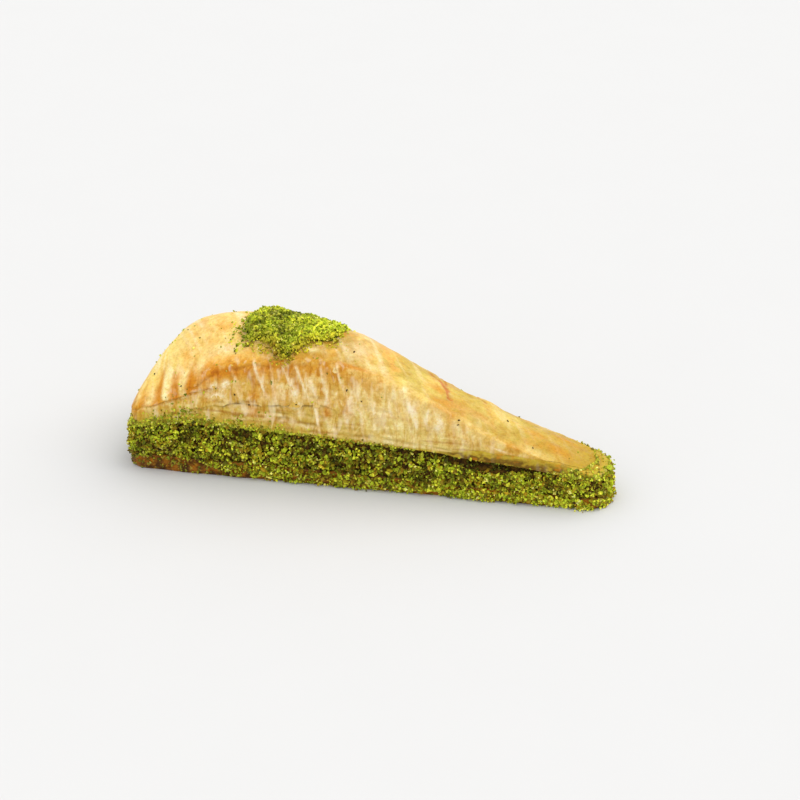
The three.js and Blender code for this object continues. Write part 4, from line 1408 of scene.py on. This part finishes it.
@functools.lru_cache(maxsize=None)
def skin_surface():
    """The pleated skin from its ragged lower edge to the crest: columns, points, normals, fields."""
    stations = even_stations(sizes().skin_step / MM)
    lower = tier(Columns(stations, np.zeros(1)))
    rows = np.r_[0, 0.0015, np.linspace(0.012, 1, 84)]  # closest together at the lower edge
    columns = Columns(stations, lerp(lower, 2, rows[None]))
    plain_points = columns.plain()
    normals = columns.normals(plain_points)
    relief, fields = roof_relief(columns, plain_points)
    flare = 0.3 * bell((columns.height - lower) / 0.045) * (0.6 + 0.6 * wobbly(columns, 2.0, 107))
    flare = flare * tier_shown(columns)
    points = plain_points + normals * (relief + flare * columns.relief)[..., None]
    mirrored = -np.arange(len(points)) % len(points)
    points[:, -1] = (points[:, -1] + points[mirrored, -1]) / 2  # both sides meet on the crest
    return columns, points, normals, fields


class BAKLAVA_OT_skin(bpy.types.Operator):
    """Models the pleated skin that goes over the roof, with its ragged lower edge"""

    bl_idname = "baklava.skin"
    bl_label = "Pleated skin"

    def execute(self, context):
        columns, points, normals, fields = skin_surface()
        tint = roof_tint(columns, points, fields)
        under_rows = np.r_[points.shape[1] - 1, 72:0:-12, 4, 1]
        above_edge = smoothstep(columns.height - columns.height[:, :1], 0, 0.12)
        on_side = falling(columns.height, 1, 1.5)
        thickness = SKIN_THICKNESS * (0.3 + 0.2 * tier_shown(columns) * on_side + 0.5 * above_edge)
        under = (points - thickness[..., None] * normals)[:, under_rows]
        piece = shaped_grid(
            "pleated_skin", np.concatenate([under, points], axis=1),
            np.concatenate([tint[:, under_rows], tint], axis=1),
        )
        settle(piece, "golden_pastry", leaf_material("glazed_skin", 0.4, 0.03), "pastry_top")
        return {"FINISHED"}


class BAKLAVA_OT_leaves(bpy.types.Operator):
    """Models the wet lower leaves that show under the pleated skin"""

    bl_idname = "baklava.leaves"
    bl_label = "Lower leaves"

    def execute(self, context):
        stations = even_stations(sizes().skin_step / MM)
        lower = tier(Columns(stations, np.zeros(1)))
        columns = Columns(stations, np.linspace(0, 1, 44)[None] * (lower + LEAF_OVERLAP))
        points = columns.plain()
        normals = columns.normals(points)
        relief, fields = roof_relief(columns, points)
        tint = roof_tint(columns, points, fields)
        below = columns.height - lower
        # Painted shadow: a dark brown line just under the pleated skin's lower edge.
        line = bell((below + 0.014) / 0.018) * within(columns.x, -48, -6, 5)
        line *= np.clip(0.7 + 0.7 * wobbly(columns, 2.2, 109), 0, 1)
        brown = 0.8 * panel_colour("soaked_strip")
        tint[..., :3] = lerp(tint[..., :3], brown, 0.9 * line[..., None])
        steps = 0.16 * lattice_noise(points, (11, 11, 0.75), 52)
        ledge_at = 0.2 + 0.03 * wobbly(columns, 4.0, 55)
        ledge = 0.22 * falling(columns.height - ledge_at, -0.012, 0.012) * smoothstep(lower, 0.25, 0.35)
        tucked = 0.06 + 0.45 * tier_shown(columns) * smoothstep(below, -0.03, 0.02)
        free = smoothstep(-below, 0.0, 0.06)
        relief = (steps + ledge) * free * columns.relief + relief - tucked
        points = points + normals * relief[..., None]
        low = stations.middle(filling_top(stations.middle_x) + GAP)[:, None]
        high = stations.middle(filling_top(stations.middle_x) + GAP + 0.5)[:, None]
        rows = np.concatenate([low, points, high], axis=1)
        painted = np.concatenate([tint[:, :1], tint, tint[:, -1:]], axis=1)
        piece = shaped_grid("lower_leaves", rows, painted)
        settle(piece, "golden_pastry", leaf_material("wet_leaves", 0.38, 0.03), "pastry_top")
        return {"FINISHED"}


# ------------------------------------------------------------------ flakes, dust and specks

# Torn flakes of the near side: x in mm, height.
FLAKES = (
    (-47.6, 0.75), (-47.2, 0.68), (-43.4, 0.74), (-42.6, 0.7), (-47.5, 0.54), (-46.0, 0.5),
    (-20.4, 0.43), (-18.9, 0.4), (-21.6, 0.66), (-13.6, 0.33), (-8.0, 0.96), (5.2, 0.45),
)

# Dark bits on the near side: x in mm, height.
SPECKS = (
    (-40.6, 0.54), (1.0, 0.61), (-3.9, 0.72), (32.3, 1.0), (32.3, 0.87), (56.1, 1.3),
    (-73.1, 1.33), (-4.4, 1.53), (-58.6, 1.02), (-20.0, 0.3), (-36.4, 0.24), (46.0, 1.9),
)
STREWN_SPECKS = 130


def nearest(columns, x, height):
    """Index of the near side's point at that place."""
    off = (columns.x - x) ** 2 + (20 * (columns.height - height)) ** 2 + 1e6 * columns.far
    return np.argmin(off)


class BAKLAVA_OT_flakes(bpy.types.Operator):
    """Models the small torn flakes that stand off the pleated sides"""

    bl_idname = "baklava.flakes"
    bl_label = "Torn flakes"

    def execute(self, context):
        columns, points, normals, fields = skin_surface()
        random = np.random.default_rng(61)
        spot = [nearest(columns, x, height) for x, height in FLAKES]
        chance = np.where((columns.height < 1) & columns.far, fields["torn"], 0).ravel()
        spot += list(random.choice(chance.size, sizes().flakes, p=chance / chance.sum()))
        count = len(spot)
        i, j = np.unravel_index(spot, columns.height.shape)
        normal = normals[i, j]
        up = np.array((0, 0, 1.0)) + 0.35 * random.normal(size=(count, 3))
        across = np.cross(up, normal)
        across /= np.linalg.norm(across, axis=1, keepdims=True)
        up = np.cross(normal, across)
        size = random.uniform(0.45, 0.9, (count, 1))
        across = across * size * random.uniform(0.7, 1.8, (count, 1))
        frames = np.stack([across, up * size * 1.1, normal * size], axis=-1)
        darker = random.uniform(0.5, 1, (count, 1))
        tints = lerp(panel_colour("leaf_glint"), panel_colour("leaf_mid"), darker)
        tints = np.concatenate([tints, np.full((count, 1), 0.3)], axis=1)
        centres = points[i, j] - normal * 0.02
        shapes = flake_shapes()
        chosen = random.integers(0, FLAKE_SHAPES, count)
        piece = joined_copies("torn_flakes", shapes, chosen, centres, frames, tints)
        settle(piece, "golden_pastry", leaf_material("torn_leaf", 0.4, 0.05))
        return {"FINISHED"}


class BAKLAVA_OT_dust(bpy.types.Operator):
    """Models the fine pistachio on the foot of the leaves and on the base, and the strewn specks"""

    bl_idname = "baklava.dust"
    bl_label = "Pistachio dust"

    def execute(self, context):
        random = np.random.default_rng(71)
        count = sizes().dust_granules
        evenly = random.uniform(0, 2 * HALF_PERIMETER, count)
        at_rim = random.normal(0, 30, count) % (2 * HALF_PERIMETER)
        around = np.where(random.uniform(size=count) < 0.15, at_rim, evenly)
        wanted = knots_at(DUST_REACH, Stations(around).x) ** 1.5
        around = around[random.uniform(size=count) < np.clip(wanted, 0.03, 1)]
        count = len(around)
        places = Stations(around)
        reach = random.exponential(1.0, count) * knots_at(DUST_REACH, places.x)
        reach *= 0.75 + 0.6 * rough(stacked(places.x, places.y, 0.0), 6, 72)
        rise = np.maximum(0, reach) / np.maximum(crease(places.x, places.y) - filling_top(places.x), 1)
        highest = 1.02 + 0.6 * smoothstep(places.x, 70, 77)
        columns = Columns(places, np.minimum(rise, highest)[:, None])
        points = columns.plain()
        relief, _ = roof_relief(columns, points)
        on_leaves = points[:, 0] + places.step_out(relief[:, 0] + 0.05)
        share = random.uniform(0.05, 1, count)
        low = share * base_top(places.x)
        on_base = places.point_out(base_outward(places, share) + 0.1, low)
        chosen = random.uniform(size=count) < 0.13
        centres = np.where(chosen[:, None], on_base, on_leaves)
        radii = np.clip(random.lognormal(-1.25, 0.4, count), 0.13, 0.6)
        tints = bit_tints(DUST_MIX, random, count)
        tints = np.where(chosen[:, None], tints * 0.6, tints)
        dust = granules("pistachio_dust", centres, radii, tints, random, True)
        settle(dust, "ground_pistachio", shared_granule_material())
        self.specks()
        return {"FINISHED"}

    def specks(self):
        """Single bits on the roof: the dark ones of the near side, and yellow-green ones all over."""
        columns, points, normals, _ = skin_surface()
        random = np.random.default_rng(73)
        chosen = [nearest(columns, x, height) for x, height in SPECKS]
        weight = np.where(columns.height > 0.7, 1.0, 0.3) * np.where(columns.x < -40, 2.5, 1.0)
        weight = weight * np.where(columns.x > 10, 0.3, 1.0)
        weight = weight * np.where(np.hypot(columns.x - HEAP_X, points[..., 1]) < 26, 3, 1)
        weight = weight * smoothstep(columns.relief, 0.1, 0.5) / weight.sum()
        weight = (weight / weight.sum()).ravel()
        chosen += list(random.choice(weight.size, STREWN_SPECKS, p=weight))
        i, j = np.unravel_index(chosen, columns.height.shape)
        radii = np.clip(random.lognormal(-1.2, 0.35, len(chosen)), 0.15, 0.55)
        radii[:len(SPECKS)] = 0.36
        tints = bit_tints(DUST_MIX, random, len(chosen))
        tints[:len(SPECKS)] = linear((70, 52, 8))
        centres = points[i, j] + normals[i, j] * 0.1 * radii[:, None]
        specks = granules("strewn_specks", centres, radii, tints, random)
        settle(specks, "strewn_pistachio", shared_granule_material())


# ------------------------------------------------------------------ heap piece


class BAKLAVA_OT_heap(bpy.types.Operator):
    """Models the heap of ground pistachio on the roof, with its feathered edge"""

    bl_idname = "baklava.heap"
    bl_label = "Pistachio heap"

    def execute(self, context):
        angles = np.linspace(-np.pi, np.pi, 150, endpoint=False)
        under = [heap_point(angles, share * HEAP_CORE, -0.1) for share in np.linspace(0, 1, 8)]
        over = []
        for share in np.linspace(0.96, 0, 22):
            lift = heap_thickness(share)
            bumps = 0.35 * lattice_noise(heap_point(angles, share * HEAP_CORE, lift), 1.8, 91) - 0.6
            over.append(heap_point(angles, share * HEAP_CORE, lift + bumps * min(1, 4 * share)))
        core = shaped_grid("pistachio_heap", np.stack(under + over, axis=1))
        mass = packed_material("packed_heap", (58, 60, 8), (132, 136, 22))
        settle(core, "strewn_pistachio", mass, "pistachio_topping")

        random = np.random.default_rng(97)
        count = sizes().heap_granules
        angle = random.uniform(-np.pi, np.pi, count)
        share = np.sqrt(random.uniform(0, 1.5, count))
        spot = heap_point(angle, share, 0.0)
        keep = share + 0.22 * rough(spot, 3.0, 98) < lerp(0.86, 1.2, random.uniform(0, 1, count) ** 2.5)
        angle, share = angle[keep], share[keep]
        count = len(angle)
        radii = 0.64 * sizes().granule_radius / MM * random.lognormal(-0.1, 0.34, count)
        radii = np.clip(radii, 0.15, 0.7)
        lift = np.where(share < 1, heap_thickness(np.minimum(share, 1)), 0.15)
        lumps = 1.0 * rough(heap_point(angle, share, 0.0), 2.2, 99)
        lift = np.maximum(lift * random.uniform(0.55, 1.0, count) + lumps, 0)
        centres = heap_point(angle, share, lift + 0.1 * radii - GAP * (share >= 1))
        x, y = centres[:, 0], centres[:, 1]
        # Painted light: bits on the heap's lumps are lighter. The heap is also lighter towards the right
        # and darker round its middle.
        shade = 1.22 + 0.3 * rough(centres, 5, 96, 2) + 0.85 * lumps
        shade += 0.4 * smoothstep(x, -28, -14) - 0.3 * bell((x + 29) / 5)
        shade = np.clip(shade, 0.3, 2.2)
        tints = np.clip(bit_tints(HEAP_MIX, random, count) * shade[:, None], 0, 1)
        soaked = smoothstep(share, 0.65, 1.1) * (y < y.mean()) * smoothstep(x, HEAP_X - 15, HEAP_X - 7)
        tints = lerp(tints, panel_colour("amber"), 0.32 * soaked[:, None])
        crumbs = granules("heap_granules", centres, radii, tints, random)
        settle(crumbs, "strewn_pistachio", shared_granule_material(), "pistachio_topping")
        return {"FINISHED"}


# ------------------------------------------------------------------ stage

CAMERA_TURN = math.radians(17.5)
CAMERA_RISE = math.radians(27)
CAMERA_DISTANCE = 0.6689
CAMERA_SIDESTEP = 0.0087
CAMERA_LIFT = 0.0214
CAMERA_LENS = 90


def camera_axes():
    back = Vector((
        math.sin(CAMERA_TURN) * math.cos(CAMERA_RISE),
        -math.cos(CAMERA_TURN) * math.cos(CAMERA_RISE),
        math.sin(CAMERA_RISE),
    ))
    right = Vector((math.cos(CAMERA_TURN), math.sin(CAMERA_TURN), 0))
    return right, back.cross(right), back


def add_sun(name, place, energy, angle, colour=(1, 1, 1)):
    """Adds a soft sun lamp that shines from a place to the middle of the floor."""
    turn = (-Vector(place)).to_track_quat("-Z", "Y").to_euler()
    bpy.ops.object.light_add(type="SUN", location=place, rotation=turn)
    lamp = bpy.context.object
    lamp.name = name
    lamp.data.energy = energy
    lamp.data.angle = math.radians(angle)
    lamp.data.color = colour


class BAKLAVA_OT_stage(bpy.types.Operator):
    """Sets the pale floor, the soft lights and the camera"""

    bl_idname = "baklava.stage"
    bl_label = "Stage"

    def execute(self, context):
        deselect_all()
        bpy.ops.mesh.primitive_plane_add(size=8, location=(0, 0, 0))
        floor = context.object
        floor.name = "floor"
        paper = Shader("floor_paper", Roughness=0.9, Specular_IOR_Level=0.1)
        white = panel_colour("floor_white")
        paper.colour(paper.mix(paper.noise(30, 3, 0.5), opaque(0.985 * white), opaque(white)))
        floor.data.materials.append(paper.material)

        world = bpy.data.worlds.new("studio")
        world.use_nodes = True
        background = world.node_tree.nodes["Background"]
        background.inputs["Color"].default_value = (1.0, 1.0, 1.0, 1)
        background.inputs["Strength"].default_value = 1.0
        context.scene.world = world

        add_sun("key", (0.6, 0.45, 0.95), 1.25, 60, (1.0, 0.985, 0.95))
        add_sun("fill", (-0.35, -0.75, 0.6), 0.25, 50)

        right, up, back = camera_axes()
        turn = Matrix((right, up, back)).transposed().to_euler()
        place = back * CAMERA_DISTANCE + right * CAMERA_SIDESTEP + up * CAMERA_LIFT
        bpy.ops.object.camera_add(location=place, rotation=turn)
        camera = context.object
        camera.name = "camera"
        camera.data.lens = CAMERA_LENS
        camera.data.sensor_width = 36
        camera.data.clip_start = 0.01
        context.scene.camera = camera
        context.scene.view_settings.view_transform = "Standard"
        return {"FINISHED"}


# ------------------------------------------------------------------ panel and registration

STEPS = (
    BAKLAVA_OT_base, BAKLAVA_OT_filling, BAKLAVA_OT_leaves, BAKLAVA_OT_skin,
    BAKLAVA_OT_flakes, BAKLAVA_OT_dust, BAKLAVA_OT_heap, BAKLAVA_OT_stage,
)


class BAKLAVA_PT_panel(bpy.types.Panel):
    """Lists the slice's pieces, sizes and colours"""

    bl_idname = "BAKLAVA_PT_panel"
    bl_label = "Baklava slice"
    bl_space_type = "VIEW_3D"
    bl_region_type = "UI"
    bl_category = "Baklava"

    def draw(self, context):
        for step in STEPS:
            self.layout.operator(step.bl_idname)
        for group in (context.scene.baklava_sizes, context.scene.baklava_colours):
            box = self.layout.box()
            for name in group.bl_rna.properties.keys():
                if name not in {"rna_type", "name"}:
                    box.prop(group, name)


CLASSES = (SliceSizes, SliceColours, *STEPS, BAKLAVA_PT_panel)


def register():
    for item in CLASSES:
        bpy.utils.register_class(item)
    bpy.types.Scene.baklava_sizes = bpy.props.PointerProperty(type=SliceSizes)
    bpy.types.Scene.baklava_colours = bpy.props.PointerProperty(type=SliceColours)


def unregister():
    del bpy.types.Scene.baklava_colours
    del bpy.types.Scene.baklava_sizes
    for item in reversed(CLASSES):
        bpy.utils.unregister_class(item)


def main():
    register()
    bpy.ops.baklava.base()
    bpy.ops.baklava.filling()
    bpy.ops.baklava.leaves()
    bpy.ops.baklava.skin()
    bpy.ops.baklava.flakes()
    bpy.ops.baklava.dust()
    bpy.ops.baklava.heap()
    bpy.ops.baklava.stage()


if __name__ == "__main__":
    main()
